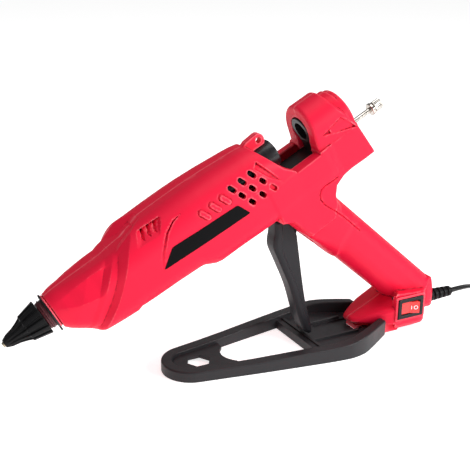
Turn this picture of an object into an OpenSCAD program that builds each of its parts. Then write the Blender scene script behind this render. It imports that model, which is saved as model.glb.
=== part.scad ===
// Hot-melt glue gun with a removable stand.
// The gun leans nose-down on its stand. All gun modules are drawn in the gun's own
// frame (X along the glue path from nozzle to rear, Z up from the path) and are then
// set into the resting pose. Stand, base and cord are drawn in the floor frame.

/* [Resting pose] */
// Lean of the glue path above horizontal, degrees
tilt = 28.2; // [26:0.1:30]
// Height of the nozzle tip above the floor
nose_z = 51.0; // [50:0.5:52]

/* [Glue path] */
// Diameter of the opening that takes the glue stick
stick_bore = 12.8; // [12.4:0.1:13.2]
// Length of the heated melt chamber
chamber_len = 96; // [90:1:100]
// Outer diameter of the melt chamber
chamber_d = 18; // [17:0.5:19]
// Outer diameter of the rubber inlet sleeve
sleeve_d = 21.2; // [20.8:0.2:22]
// Diameter of the outlet hole in the nozzle
outlet_d = 2.4; // [1.5:0.1:3]

/* [Housing] */
// Greatest width of the barrel
barrel_w = 55; // [53:1:57]
// Wall thickness of the shells
wall = 2.4; // [2:0.1:2.8]
// Outer diameter of the rear ring
ring_d = 39; // [38:0.5:40]
// Width of the grip
grip_w = 34; // [33:0.5:36]
// Depth of the grip, front to back
grip_t = 39.4; // [38:0.2:41]
// Diameter of the hanging hole
hang_d = 4.4; // [4:0.2:4.6]

/* [Trigger and feed] */
// Width of the trigger blade
trigger_w = 14; // [12:0.5:14.5]
// Diameter of the trigger's pivot pin
pivot_d = 6; // [5:0.5:6]
// Distance from trigger pivot to drive pin
drive_r = 23; // [22.5:0.1:23.5]
// Feed stroke of the carriage for a full pull
feed_stroke = 10; // [9:0.5:10.5]
// Diameter of the flow adjusting screw
screw_d = 4; // [3.5:0.1:4]

/* [Stand] */
// Radius of the stand's rounded tip
tip_r = 22.7; // [22:0.1:23.5]
// Width across the flats of the nozzle spanner hole
hex_af = 16; // [14:0.5:17]
// Width of the stand's arms
arm_w = 8.2; // [7.5:0.1:9]

/* [Switch and cord] */
// Length of the switch frame
switch_l = 25; // [24:0.5:26]
// Height of the switch frame
switch_h = 17; // [16:0.5:18]
// Width of the flat twin cord
cord_w = 5.4; // [5:0.1:6]
// Mean diameter of the stored coil
coil_d = 62; // [58:1:65]

/* [Hidden] */
$fn = 64;

RED = [0.90, 0.10, 0.18];
BLACK = [0.10, 0.10, 0.11];
STAND = [0.20, 0.20, 0.21];
STEEL = [0.70, 0.70, 0.72];
BRASS = [0.80, 0.62, 0.28];
ALU = [0.80, 0.81, 0.83];

// floor frame: x measured from the centre of the stand's rounded tip
shift_x = -42.5;
nose_x = -136.9 + shift_x;
eps = 0.05;

hang = [223.6, 15.4];         // hanging hole in the gun frame
pivot = [218, -45];          // trigger pivot in the gun frame (along, up)
arm_rest = 12.5;             // lean of the drive arm at rest, degrees
grip_a = 40.4;               // fall of the grip below horizontal, degrees
screw_n = -20;               // height of the adjusting screw in the gun frame
rocker_a = -12;              // lean of the rocker at rest, degrees

module gun() translate([nose_x, 0, nose_z]) rotate([0, -tilt, 0]) children();
module flat() translate([shift_x, 0, 0]) children();

// helpers -------------------------------------------------------------
function unit(v) = v / norm(v);
function lnorm(a, b) = let (u = unit(b - a)) [-u.y, u.x];
function inset(p, d) = let (n = len(p)) [for (i = [0:n-1])
  let (u = lnorm(p[(i+n-1)%n], p[i]), v = lnorm(p[i], p[(i+1)%n]))
  p[i] + d * (u + v) / (1 + u*v)];
function mirrored(p) = concat(p, [for (i = [len(p)-1:-1:0]) [p[i].x, -p[i].y]]);

// side profile (x, z) drawn across the width, from y0 to y1
module side(y0, y1) translate([0, y1, 0]) rotate([90, 0, 0]) linear_extrude(y1 - y0) children();
// cross-section (y, z) drawn along x, from x0 to x1
module along(x0, x1) translate([x0, 0, 0]) rotate([90, 0, 90]) linear_extrude(x1 - x0) children();
// plan (x, y) drawn upward, from z0 to z1
module up(z0, z1) translate([0, 0, z0]) linear_extrude(z1 - z0) children();
// turned profile of [radius, x] points about the glue path
module turned(pts, f = 72) rotate([0, 90, 0]) rotate([0, 0, 180]) rotate_extrude($fn = f) polygon(pts);
// straight round bar along x at height z
module rod_x(x0, x1, r, z = 0, y = 0, f = 48) translate([x0, y, z]) rotate([0, 90, 0]) cylinder(h = x1 - x0, r = r, $fn = f);
// straight round bar along y
module rod_y(x, z, y0, y1, r, f = 48) translate([x, y1, z]) rotate([90, 0, 0]) cylinder(h = y1 - y0, r = r, $fn = f);
module rrect(w, h, r) {
  square([w - 2*r, h], center = true);
  square([w, h - 2*r], center = true);
  for (i = [-1, 1], j = [-1, 1]) translate([i*(w/2 - r), j*(h/2 - r)]) circle(r);
}
module tube_x(x0, x1, ro, ri) difference() { rod_x(x0, x1, ro, f = 72); rod_x(x0 - 1, x1 + 1, ri, f = 72); }

// housing -------------------------------------------------------------
barrel_side = [[38, -13.5], [46, -21], [57, -27.8], [61, -29.9], [85, -30.6], [89, -29.4], [120, -30.5], [140, -32.2],
  [149, -36.9], [154, -38.1], [170, -38.6], [212, -41], [232, -40], [232, -12.8], [224, -5], [212.5, 17.3],
  [206, 18.8], [190, 20], [176, 21], [160, 21.7], [115, 21.3], [108, 18.5], [101, 15.7], [86, 14.3], [70, 13.5], [47, 13.3], [38, 12]];
barrel_plan = mirrored([[38, -13], [47, -17.5], [60, -21.5], [75, -24.8], [92, -26.8],
  [106, -27.5], [150, -27.2], [190, -25.6], [215, -23.8], [232, -22.3]]);

module barrel_section(g) {
  w = barrel_w/2 - g;
  translate([0, -21]) square([2*w - 26 + 2*g, 28 - 2*g], center = true);
  hull_free_box(-w, w, -22, 0);
  hull_free_box(-w, w, -1, 1.8);
  hull_free_box(-7.5, 7.5, -22, 21.8 - g);
  for (i = [-1, 1]) {
    translate([i*7.5, 1.8]) circle(20 - g, $fn = 96);
    translate([i*(w - 13 + g), -22]) circle(13 - g);
  }
}
module hull_free_box(y0, y1, z0, z1) translate([y0, z0]) square([y1 - y0, z1 - z0]);

module barrel_solid(g = 0) intersection() {
  side(-40, 40) polygon(inset(barrel_side, g));
  up(-60, 40) polygon(inset(barrel_plan, g));
  along(30, 240) barrel_section(g);
  // the nose is turned about an axis a little below the glue path
  translate([0, 0, -2]) turned([[0, 30], [13.6 - g, 30], [13.6 - g, 38], [24 - g, 50], [36 - g, 70], [48, 86], [48, 250], [0, 250]]);
}

rear_side = [[205, -41.5], [213, -46], [222, -66], [245, -66], [251.5, -58], [253.5, -50], [257.5, -44], [266, -41.5],
  [297, -41], [292.8, -12.8], [289, -5.6], [285.4, 1.1], [282.4, 7], [280.2, 12], [279, 16.8], [278.6, 21], [260, 21],
  [255, -12.8], [205, -12.8]];
rear_plan = mirrored([[205, -24.6], [232, -22.3], [257, -21.5], [268, -19.8], [302, -19.5]]);
module rear_solid(g = 0) intersection() {
  side(-30, 30) polygon(inset(rear_side, g));
  up(-80, 30) polygon(inset(rear_plan, g));
  union() {
    rod_x(255 + g, 300, ring_d/2 - g, f = 96);
    along(200 + g, 302) hull_free_box(-24.6 + g, 24.6 - g, -70, -12.8 - g);
    along(255 + g, 302) hull_free_box(-19.5 + g, 19.5 - g, -30, 0);
  }
}

// the grip is a straight rounded bar, drawn along its own fall line
module grip_frame() flat() translate([100, 0, 111.3]) rotate([0, grip_a, 0]) children();
module grip_solid(g = 0) grip_frame() along(-12 + g, 136 - g) translate([0, 1.8]) rrect(grip_w - 2*g, grip_t - 3.6 - 2*g, 15 - g);

neck_side = [[77.5, 104.8], [85, 98.8], [96, 91], [120, 72.5], [136, 100], [131.1, 105], [119, 113], [113.5, 120.5], [110.5, 127.4], [109.8, 134.2],
  [115, 141.5], [110, 150], [70, 130], [71, 110.5]];
module neck_solid(g = 0) flat() side(-18 + g, 18 - g) polygon(inset(neck_side, g));

nose_side = [[139.5, 10], [163, 9], [172, 9], [172, 28.5], [169.3, 27], [142.6, 14.6], [139.5, 12.4]];
nose_hollow = [[148, 12.2], [170, 11.6], [170, 24.6], [163, 21.4], [151, 15.9]];
nose_plan = mirrored([[139.5, -3.5], [143, -8.2], [149.5, -12.2], [160, -16.4], [172, -19.6]]);
block_side = [[166, 0], [196, 0], [205, 4], [212, 9], [217, 12], [217, 24], [208, 33], [166, 36]];
block_plan = mirrored([[166, -17.6], [170.5, -24], [197, -24], [203, -20.8], [208, -14], [213, -7], [217, -4]]);
block_section = [[-25, 60], [-25, 9.5], [-20.5, 4.4], [-14, 0.6], [-13, -2], [13, -2], [14, 0.6], [20.5, 4.4], [25, 9.5], [25, 60]];
tail_side = [[194, 8.5], [222.9, 8.5], [222.9, 21], [221.3, 28], [216.2, 38.4], [200, 36]];
tail_plan = mirrored([[190, -14], [212, -14], [218.8, -11], [222.9, -6.8]]);
tail_section = [[-14.5, 60], [-14.5, 16.2], [-6, 8.5], [6, 8.5], [14.5, 16.2], [14.5, 60]];
module base_solid(g = 0) flat() {
  intersection() {
    side(-30, 30) polygon(g > 0 ? nose_hollow : nose_side);
    up(-1, 60) polygon(inset(nose_plan, g));
    // the sloping shoulders of the boat-shaped nose
    along(130, 180) polygon([[-30, -1], [30, -1], [30, 20 - g], [0, 28.2 - g], [-30, 20 - g]]);
  }
  intersection() {
    side(-30, 30) polygon(inset(block_side, g));
    up(-1, 60) polygon(inset(block_plan, g));
    along(150, 230) polygon(inset(block_section, g));
  }
  intersection() {
    side(-20, 20) polygon(inset(tail_side, g));
    up(-1, 60) polygon(inset(tail_plan, g));
    along(150, 230) polygon(inset(tail_section, g));
  }
}

module eyelet_tab(r) gun() { rod_y(hang.x, hang.y, -3, 3, r); side(-3, 3) polygon([[206, 6], [224, 6], [228.5, 12.5], [224.5, 19], [222, 19.4], [206, 14]]); }

module body_solid() {
  gun() { barrel_solid(); rear_solid(); }
  grip_solid();
  neck_solid();
  base_solid();
  // rear guide boss
  gun() turned([[0, 270], [17.5, 270], [17.5, 286], [15.5, 291.5], [0, 291.5]], 96);
}
module body_cavity() {
  g = wall;
  gun() { barrel_solid(g); rear_cavity(); }
  grip_solid(g);
  neck_solid(g);
  base_solid(g);
}
module rear_cavity() difference() {
  rear_solid(wall);
  // solid metal of the rear ring, with its recess cut later
  rod_x(250, 300, ring_d/2, f = 96);
}

trigger_front = [[206, -47], [202, -55], [198, -60.5], [195.8, -66], [195.2, -78], [193.2, -102],
  [188.6, -125], [187.2, -138], [187.2, -145]];
trigger_back = [[190, -148.6], [193.6, -146.5], [198.5, -124], [211.8, -83], [219, -64], [225, -50]];
trigger_outline = concat(trigger_back, [[220, -40], [210, -40]], trigger_front);
// room for the trigger through its whole swing
trigger_sweep = [[209, -36.5], [205, -47], [200.8, -55.5], [190, -60], [190, -130], [236.6, -130], [235.6, -124.8],
  [230.2, -82], [228.4, -61.7], [227.8, -46], [226.4, -36.5]];

boss_sites = [[60, -24], [140, -27.4], [184, -33.5], [148, 14.8], [284, -33.5], [242, -60]];
grip_boss_sites = [[78, 0], [122, 12]];

module screw_places() {
  gun() for (p = boss_sites) translate([p.x, 0, p.y]) children();
  grip_frame() for (p = grip_boss_sites) translate([p.x, 0, p.y]) children();
}

vent_rows = [[198.5, 8.2], [190.7, 7.7], [182.5, 7.2]];
module vents(d) for (r = [0:2], k = [0:2])
  translate([vent_rows[r].x + 6*k, 0, vent_rows[r].y - 9.6*k]) rotate([0, 58, 0])
    side(-40, 40) { square([3.6, 3.4], center = true); translate([1.8, 0]) circle(1.7, $fn = 24); translate([-1.8, 0]) circle(1.7, $fn = 24); }

module sleeve_bore() turned([[0, 197], [10.5, 197], [10.6, 216], [sleeve_d/2 + 0.35, 222], [sleeve_d/2 + 0.35, 257], [0, 257]]);
// cuts of one half; everything is drawn on the left, and the right half is its mirror
module openings(right) {
  gun() {
    // mouth and front of the glue path
    rod_x(30, 46, 10.6, f = 72);
    // open notch above the feed carriage
    side(-17.6, 17.6) polygon([[230, -12], [234.5, -17.2], [236, -24], [254.8, -24], [254.8, 30], [214, 30], [222, -2]]);
    side(-40, 40) polygon([[234, -12.8], [254.8, -12.8], [254.8, 30], [213.4, 17.6]]);
    sleeve_bore();
    // recess in the rear ring for carriage collar and gripper, open below
    rod_x(254, 274, 11.2, f = 72);
    along(254, 274.2) hull_free_box(-9, 9, -24, 0);
    along(254, 283) hull_free_box(-9, 9, -30, -14);
    // rear stick opening takes the guide bush
    rod_x(273, 292, 8.6, f = 72);
    rod_x(289, 312, 10.2, f = 72);
    // adjusting screw: passage and nut pocket
    rod_x(270, 310, 2.6, screw_n);
    translate([287, 0, screw_n]) rotate([0, 90, 0]) cylinder(h = 3.4, r = 4.1, $fn = 6);
    // slot for the trigger and its swing
    side(-trigger_w/2 - 0.7, trigger_w/2 + 0.7) polygon(trigger_sweep);
    // cooling vents, both sides
    vents(0);
    // recesses for the labels
    side(-40, -barrel_w/2 + 0.55) polygon(label_pts);
    // pivot pin seats, closed at the outer wall
    rod_y(pivot.x, pivot.y, -16, 16, pivot_d/2);
  }
  flat() {
    // switch opening on the left, cable opening at the rear
    if (!right) translate([185.1, -24, 22.2]) rotate([90, 0, 0]) linear_extrude(8, center = true) square([switch_l - 3.4, switch_h - 3.4], center = true);
    rod_x(215, 230, 4.6, 15.5);
  }
  screw_places() {
    if (!right) rod_y(0, 0, -14, 2, 1.25, 32);
    if (right) { rod_y(0, 0, -14, 2, 1.7, 32); rod_y(0, 0, -40, -13, 3.3, 32); }
  }
}
label_pts = [[115, -12.6], [186.2, -16.4], [181, -6.2], [126, -1.8]];

module inner_features(right) {
  // screw posts
  intersection() {
    screw_places() rod_y(0, 0, -40, 1, 4.2, 32);
    body_solid();
  }
  intersection() {
    gun() {
      // trigger pivot boss
      rod_y(pivot.x, pivot.y, -30, right ? -7.9 : -9.4, 6);
      // carriage rail
      translate([230, -25.6, -25.5]) cube([34, 14, 2.4]);
      // collars that hold the chamber supports and the sleeve
      for (x = [50.4, 57.6, 122.4, 129.6, 198]) along(x, x + 2) difference() {
        square([60, 80], center = true);
        circle(x > 190 ? 10.5 : 9.6, $fn = 72);
        // wire gate
        translate(x > 190 ? [-12.7, -27] : [-6, -19.4]) square([5, 6], center = true);
      }
    }
    body_solid();
  }
  // post under the cord clamp
  flat() translate([206, -6.4, 7]) cylinder(h = 11.3, r = 2.4, $fn = 32);
}
module tongue() flat() difference() {
  translate([145, -6.5, 3]) cube([24, 13, 3.6]);
  translate([140, -10, 5.4]) rotate([0, -12, 0]) cube([8, 20, 6]);
}
module half_shell(right) intersection() {
  union() {
    difference() {
      union() {
        difference() { body_solid(); body_cavity(); }
        inner_features(right);
        tongue();
      }
      openings(right);
      flat() translate([100, -60, -40]) cube([140, 120, 40]);
    }
    // eyelet over the sleeve
    difference() {
      eyelet_tab(4.8);
      gun() { sleeve_bore(); rod_y(hang.x, hang.y, -10, 10, hang_d/2); }
    }
  }
  translate([-300, -60, -20]) cube([700, 60, 300]);
}
module left_shell() color(RED) half_shell(false);
module right_shell() color(RED) mirror([0, 1, 0]) half_shell(true);
module housing_screws() color(STEEL) screw_places() difference() {
  union() { rod_y(0, 0, -10, 13, 1.2, 32); rod_y(0, 0, 13, 15.2, 3, 32); }
  translate([0, 14.6, 0]) for (a = [0, 90]) rotate([0, a, 0]) translate([-1.7, 0, -0.35]) cube([3.4, 2, 0.7]);
}
module side_labels() color(BLACK) gun() for (m = [0, 1]) mirror([0, m, 0])
  side(-barrel_w/2 + 0.05, -barrel_w/2 + 0.5) polygon(inset(label_pts, 0.15));

// nose ----------------------------------------------------------------
module nozzle() color(BRASS) gun() difference() {
  union() {
    turned([[0, -1], [1.7, -1], [2.1, 0.5], [2.1, 3], [5, 20], [5, 24], [0, 24]]);
    rod_x(23.9, 30, 7.4, f = 6);
    rod_x(29.9, 49, 5);
  }
  turned([[0, -2], [outlet_d/2, -2], [outlet_d/2, 4], [3.2, 14], [3.2, 50], [0, 50]]);
}
module nozzle_shroud() color(BLACK) gun() difference() {
  union() {
    turned([[0, 0.3], [2.9, 0.3], [4.2, 2.5], [7.6, 17], [8.2, 17], [11.6, 30.6], [11.6, 31], [0, 31]]);
    for (a = [15:30:345]) rotate([a, 0, 0]) side(-0.75, 0.75)
      polygon([[3, 3.6], [4, 4.75], [17.2, 8.7], [18.4, 9.4], [30.2, 13.2], [30.8, 13.2], [30.8, 9.5], [24, 8.5]]);
  }
  turned([[0, -2], [2.2, -2], [2.2, 3], [5.1, 20], [5.1, 23.8], [7.5, 23.8], [7.5, 32], [0, 32]]);
}
module nozzle_seal() color([0.85, 0.25, 0.35]) gun() tube_x(31.6, 34.4, 10, 5.1);
module front_plate() color(BLACK) gun() difference() {
  union() {
    rod_x(35.6, 37.8, 11.6, f = 72);
    rod_x(37.8, 40, 10.4, f = 72);
    translate([35.8, -2.2, -16.6]) cube([1.2, 4.4, 31.2]);
  }
  rod_x(30, 45, 6.4);
}

// heating -------------------------------------------------------------
chamber_x = 44;
module melt_chamber() color(ALU) gun() difference() {
  union() {
    rod_x(chamber_x, chamber_x + chamber_len - 10, chamber_d/2, f = 72);
    rod_x(chamber_x + chamber_len - 11, chamber_x + chamber_len, 7.6, f = 72);
    translate([66, -9, -22]) cube([51, 18, 18]);
  }
  turned([[0, 40], [5, 40], [5, 49.2], [3.4, 49.2], [3.4, 54], [6.1, 78], [6.1, 150], [0, 150]]);
  translate([60, -6.6, -19.6]) cube([60, 13.2, 6.4]);
}
module front_support() color([0.88, 0.84, 0.74]) gun() tube_x(52.6, 57.4, 10.8, chamber_d/2 + 0.05);
module rear_support() color([0.88, 0.84, 0.74]) gun() tube_x(124.6, 129.4, 13.4, chamber_d/2 + 0.05);
module heater_cores() color([0.86, 0.80, 0.62]) gun() for (i = [0, 1]) translate([68 + 24*i, -5, -17.6]) cube([23, 10, 2.4]);
module heater_film() color([0.75, 0.45, 0.10]) gun() difference() {
  translate([67, -6.2, -18.9]) cube([49, 12.4, 5]);
  translate([60, -5.1, -17.7]) cube([60, 10.2, 2.6]);
}
module heater_clamp() color(STEEL) gun() difference() {
  translate([78, -10.4, -23.6]) cube([22, 20.8, 15]);
  translate([70, -9.1, -22.1]) cube([40, 18.2, 30]);
}
module thermal_fuse() color([0.85, 0.85, 0.80]) gun() { rod_x(104, 114, 2, -24.3); rod_x(100.6, 118, 0.5, -24.3, f = 24); }
module inlet_sleeve() color(BLACK) gun() turned([[6.2, 141], [7.7, 141], [7.7, 132], [10, 132], [10, 214], [10.1, 216], [sleeve_d/2, 222], [sleeve_d/2, 230], [9.8, 230.6], [7.6, 230.6], [6.2, 227]]);
module sleeve_clamp() color(STEEL) gun() difference() {
  union() { tube_x(134, 137, 10.7, 10.05); translate([134, -2, -14.2]) cube([3, 4, 4]); }
  rod_x(130, 140, 10.05, f = 72);
}

// feed ----------------------------------------------------------------
module rear_guide_bush() color(BLACK) gun() turned([[stick_bore/2, 274.4], [8.5, 274.4], [8.5, 289.1], [10.1, 289.1], [10.1, 291.4], [8, 292], [7.4, 292], [stick_bore/2, 290]]);
module feed_carriage() color(BLACK) gun() difference() {
  union() {
    rod_x(257.4, 264, 10.5, f = 72);
    translate([257.4, -6, -22]) cube([6.6, 12, 14]);
    translate([218, -11, -22]) cube([46, 22, 4]);
    // drive fork cheeks
    for (m = [0, 1]) mirror([0, m, 0]) translate([217.5, 5.2, -28]) cube([11, 3.2, 8]);
    // gripper ears
    for (m = [0, 1]) mirror([0, m, 0]) translate([263, 4, -19]) cube([7, 2.2, 8.4]);
  }
  rod_x(250, 268, 6.7, f = 72);
  // fork slot and room for the drive arm
  translate([221.1, -10, -30]) cube([3.8, 20, 10.2]);
  translate([214.5, -5.2, -23]) cube([16, 10.4, 6]);
  rod_y(267.8, -14.4, -8, 8, 1.2, 32);
}
module stick_gripper() color(STEEL) gun() difference() {
  union() {
    rod_x(267, 268.6, 9.6, f = 72);
    translate([267, -3.2, -14.4]) cube([1.6, 6.4, 8]);
    rod_y(267.8, -14.4, -3.2, 3.2, 2.2, 32);
  }
  rod_x(260, 275, 6.5, f = 72);
  rod_y(267.8, -14.4, -8, 8, 1.25, 32);
}
module gripper_pin() color(STEEL) gun() rod_y(267.8, -14.4, -6.6, 6.6, 1.2, 32);

drive_pt = [pivot.x + drive_r*sin(arm_rest), pivot.y + drive_r*cos(arm_rest)];
module trigger() color(BLACK) gun() difference() {
  union() {
    // finger blade with a thicker front bead
    side(-trigger_w/2, trigger_w/2) polygon(concat([[190, -148.6], [193.6, -146.5], [198.5, -124], [211.8, -83], [217, -68], [217, -58], [210, -50]], trigger_front));
    side(-4.6, 4.6) polygon([[206, -50], [217, -68], [220, -63], [224.5, -48], [224, -40], [212, -40]]);
    rod_y(pivot.x, pivot.y, -7, 7, 6.8);
    // drive arm
    side(-4.4, 4.4) polygon([[drive_pt.x - 2.9, drive_pt.y + 1], [pivot.x - 5.6, pivot.y], [pivot.x + 6.4, pivot.y], [drive_pt.x + 2.9, drive_pt.y + 1]]);
    rod_y(drive_pt.x, drive_pt.y, -4.4, 4.4, 3.0, 32);
  }
  rod_y(pivot.x, pivot.y, -10, 10, pivot_d/2 + 0.06);
  // recess for the return spring
  rod_y(pivot.x, pivot.y, -10, -4.9, 5.2);
  rod_y(drive_pt.x, drive_pt.y, -10, 10, 1.5, 32);
}
module trigger_pin() color(STEEL) gun() rod_y(pivot.x, pivot.y, -15.5, 15.5, pivot_d/2);
module drive_pin() color(STEEL) gun() rod_y(drive_pt.x, drive_pt.y, -8.2, 8.2, 1.5, 32);
module trigger_spring() color(STEEL) gun() translate([pivot.x, 0, pivot.y]) {
  for (k = [0:2]) rotate([90, 0, 0]) translate([0, 0, 5.4 + 0.62*k]) rotate_extrude($fn = 48) translate([4.2, 0]) circle(0.3, $fn = 48);
  translate([0.5, -7.35, 4.5]) rotate([0, 90, 0]) cylinder(h = 7.6, r = 0.28, $fn = 48);
}
module stop_pad() color(BLACK) gun() difference() { rod_x(270.6, 276, 4.4, screw_n, f = 48); rod_x(273, 280, screw_d/2 + 0.05, screw_n, f = 48); }
module adjuster_screw() color(STEEL) gun() rod_x(273, 319, screw_d/2, screw_n, f = 48);
module adjuster_knob() color(STEEL) gun() {
  difference() {
    rod_x(316, 318.4, 5, screw_n, f = 48);
    rod_x(315, 319, screw_d/2, screw_n, f = 48);
  }
  difference() {
    rod_x(318.4, 326.6, 4.2, screw_n, f = 48);
    rod_x(318, 319, screw_d/2, screw_n, f = 48);
    for (a = [0:45:315]) translate([0, 0, screw_n]) rotate([a, 0, 0]) rod_x(320, 328, 0.8, 4.4, f = 16);
    rod_x(324, 328, 2, screw_n, f = 6);
  }
}
module adjuster_nut() color(STEEL) gun() difference() {
  translate([287.1, 0, screw_n]) rotate([0, 90, 0]) cylinder(h = 3.2, r = 4.05, $fn = 6);
  rod_x(280, 300, screw_d/2 + 0.06, screw_n, f = 48);
}

// electrics -----------------------------------------------------------
sw = [185.1, -24, 22.2];
module on_switch() flat() translate(sw) children();
module switch_body() color(BLACK) on_switch() {
  difference() {
    union() {
      translate([-switch_l/2, -2, -switch_h/2]) cube([switch_l, 2, switch_h]);
      translate([-switch_l/2 + 1.9, -0.5, -switch_h/2 + 1.9]) cube([switch_l - 3.8, 11.5, switch_h - 3.8]);
    }
    translate([-9.6, -4, -5.5]) cube([19.2, 12, 11]);
  }
  translate([0, 3, -6]) cylinder(h = 12, r = 1.0, $fn = 32);
}
module rocker() color([0.85, 0.08, 0.10]) on_switch() translate([0, 3, 0]) rotate([0, 0, rocker_a]) difference() {
  translate([0, 0, -5.1]) linear_extrude(10.2) polygon([[-8.3, -5.6], [0, -3.9], [8.3, -5.6], [7.4, -0.5], [3, 2.6], [-3, 2.6], [-7.4, -0.5]]);
  translate([0, 0, -7]) cylinder(h = 14, r = 1.05, $fn = 32);
}
module switch_terminals() color(BRASS) on_switch() for (x = [-6, 5.2]) translate([x, 11, -2.4]) cube([0.8, 7, 4.8]);
function gun_pt(x, y, z) = [nose_x + x*cos(tilt) - z*sin(tilt), y, nose_z + x*sin(tilt) + z*cos(tilt)];
function grip_pt(u, y, w) = [shift_x + 100 + u*cos(grip_a) + w*sin(grip_a), y, 111.3 - u*sin(grip_a) + w*cos(grip_a)];
module wiring() color([0.15, 0.25, 0.6]) for (y = [-2.6, 2.6])
  sweep([grip_pt(136, y, -9), grip_pt(120, y, -4), grip_pt(100, y, 4), grip_pt(78, 1.4*y, 7.6), grip_pt(44, 2*y, 7.5), grip_pt(9, 2.8*y, 11),
    gun_pt(250, 4*y, -42), gun_pt(236, 4.7*y, -32), gun_pt(204, 4.9*y, -27.4), gun_pt(184, 4.5*y, -25), gun_pt(160, 3.6*y, -21.6),
    gun_pt(140, 2.6*y, -19.6), gun_pt(120, 2.2*y, -19.3)], 1.0, 3);
module cord_clamp() color(BLACK) flat() translate([203, -9, 18.4]) cube([6, 18, 3.2]);
module clamp_screws() color(STEEL) flat() for (y = [-6.4, 6.4]) translate([206, y, 21.6]) cylinder(h = 1.6, r = 2, $fn = 32);

// cord ----------------------------------------------------------------
relief_x0 = 215.4; relief_x1 = 249;
module strain_relief() color(BLACK) flat() translate([0, 0, 15.5]) difference() {
  union() {
    rod_x(relief_x0, relief_x0 + 2.2, 5.6);
    rod_x(relief_x0 + 2, 224.4, 4.5);
    for (k = [0:4]) translate([224.2 + 5*k, 0, 0]) rotate([0, 90, 0]) cylinder(h = 3.4, r1 = 5.6 - 0.25*k, r2 = 5.3 - 0.25*k, $fn = 48);
    translate([224, 0, 0]) rotate([0, 90, 0]) cylinder(h = relief_x1 - 224, r1 = 3.9, r2 = 3.4, $fn = 48);
  }
  rod_x(200, 260, cord_w/2 + 0.02);
}
function catmull(p, i, t) = let (a = p[max(i-1, 0)], b = p[i], c = p[i+1], d = p[min(i+2, len(p)-1)])
  0.5*((2*b) + (c - a)*t + (2*a - 5*b + 4*c - d)*t*t + (3*b - a - 3*c + d)*t*t*t);
// round cable through the points of a route, m rings from each point to the next
module sweep(p, r, m) {
  n = len(p);
  pts = concat([for (i = [0:n-2], k = [0:m-1]) catmull(p, i, k/m)], [p[n-1]]);
  rings = len(pts);
  verts = [for (j = [0:rings-1])
    let (a = pts[max(j-1, 0)], b = pts[min(j+1, rings-1)], t = unit(b - a),
         u = unit(cross([0, 0, 1], t)), v = cross(t, u))
    for (q = [0:7]) pts[j] + r*(cos(45*q)*u + sin(45*q)*v)];
  faces = concat([[for (q = [0:7]) q]],
    [for (j = [0:rings-2], q = [0:7]) [j*8 + q, (j+1)*8 + q, (j+1)*8 + (q+1)%8, j*8 + (q+1)%8]],
    [[for (q = [7:-1:0]) (rings-1)*8 + q]]);
  polyhedron(verts, faces);
}
route = [[204, 0, 15.5], [230, 0, 15.5], [249, 0, 15.5], [257, 1, 15.2], [266, 4, 13.8], [276, 8.5, 11.5], [288, 15, 7.5],
  [300, 22, 4.2], [314, 27.5, 2.75], [328, 30.2, 2.75], [338, 30.4, 2.75]];
module power_cord() color(BLACK) flat() sweep(route, cord_w/2, 5);
coil_c = [338, -6];
module on_coil(z = 0) flat() translate([coil_c.x, coil_c.y, z]) children();
module cord_coil() color(BLACK) on_coil() rotate_extrude($fn = 96) translate([coil_d/2, 5]) rrect(16.4, 9.9, 1.6);
module cord_tie() color(STAND) on_coil() translate([0, -coil_d/2, 0]) difference() {
  translate([-3, -9.8, 0]) cube([6, 19.6, 11.4]);
  translate([-4, -8.7, -1]) cube([8, 17.4, 11.3]);
}
// plug lying across the top of the coil
plug_z = 10.6;
module mains_plug() color(BLACK) on_coil(plug_z) translate([coil_d/2, 0, 0]) mirror([0, 1, 0]) difference() { plug_body(); for (i = [-1, 1]) translate([6.35*i - 0.75, 14, 4.35]) cube([1.5, 19, 6.3]); }
module plug_body() intersection() {
  up(0, 15) polygon([[-11.5, 17], [-12.5, 6], [-10.5, -4], [-7, -13], [-4, -19], [4, -19], [7, -13], [10.5, -4], [12.5, 6], [11.5, 17]]);
  side(-20, 20) polygon([[-12.5, 3], [-10, 0], [10, 0], [12.5, 3], [12.5, 12], [10, 15], [-10, 15], [-12.5, 12]]);
}
module plug_blades() color(BRASS) on_coil(plug_z) translate([coil_d/2, 0, 0]) mirror([0, 1, 0]) for (i = [-1, 1])
  translate([6.35*i - 0.75, 14, 4.35]) cube([1.5, 19, 6.3]);

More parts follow.
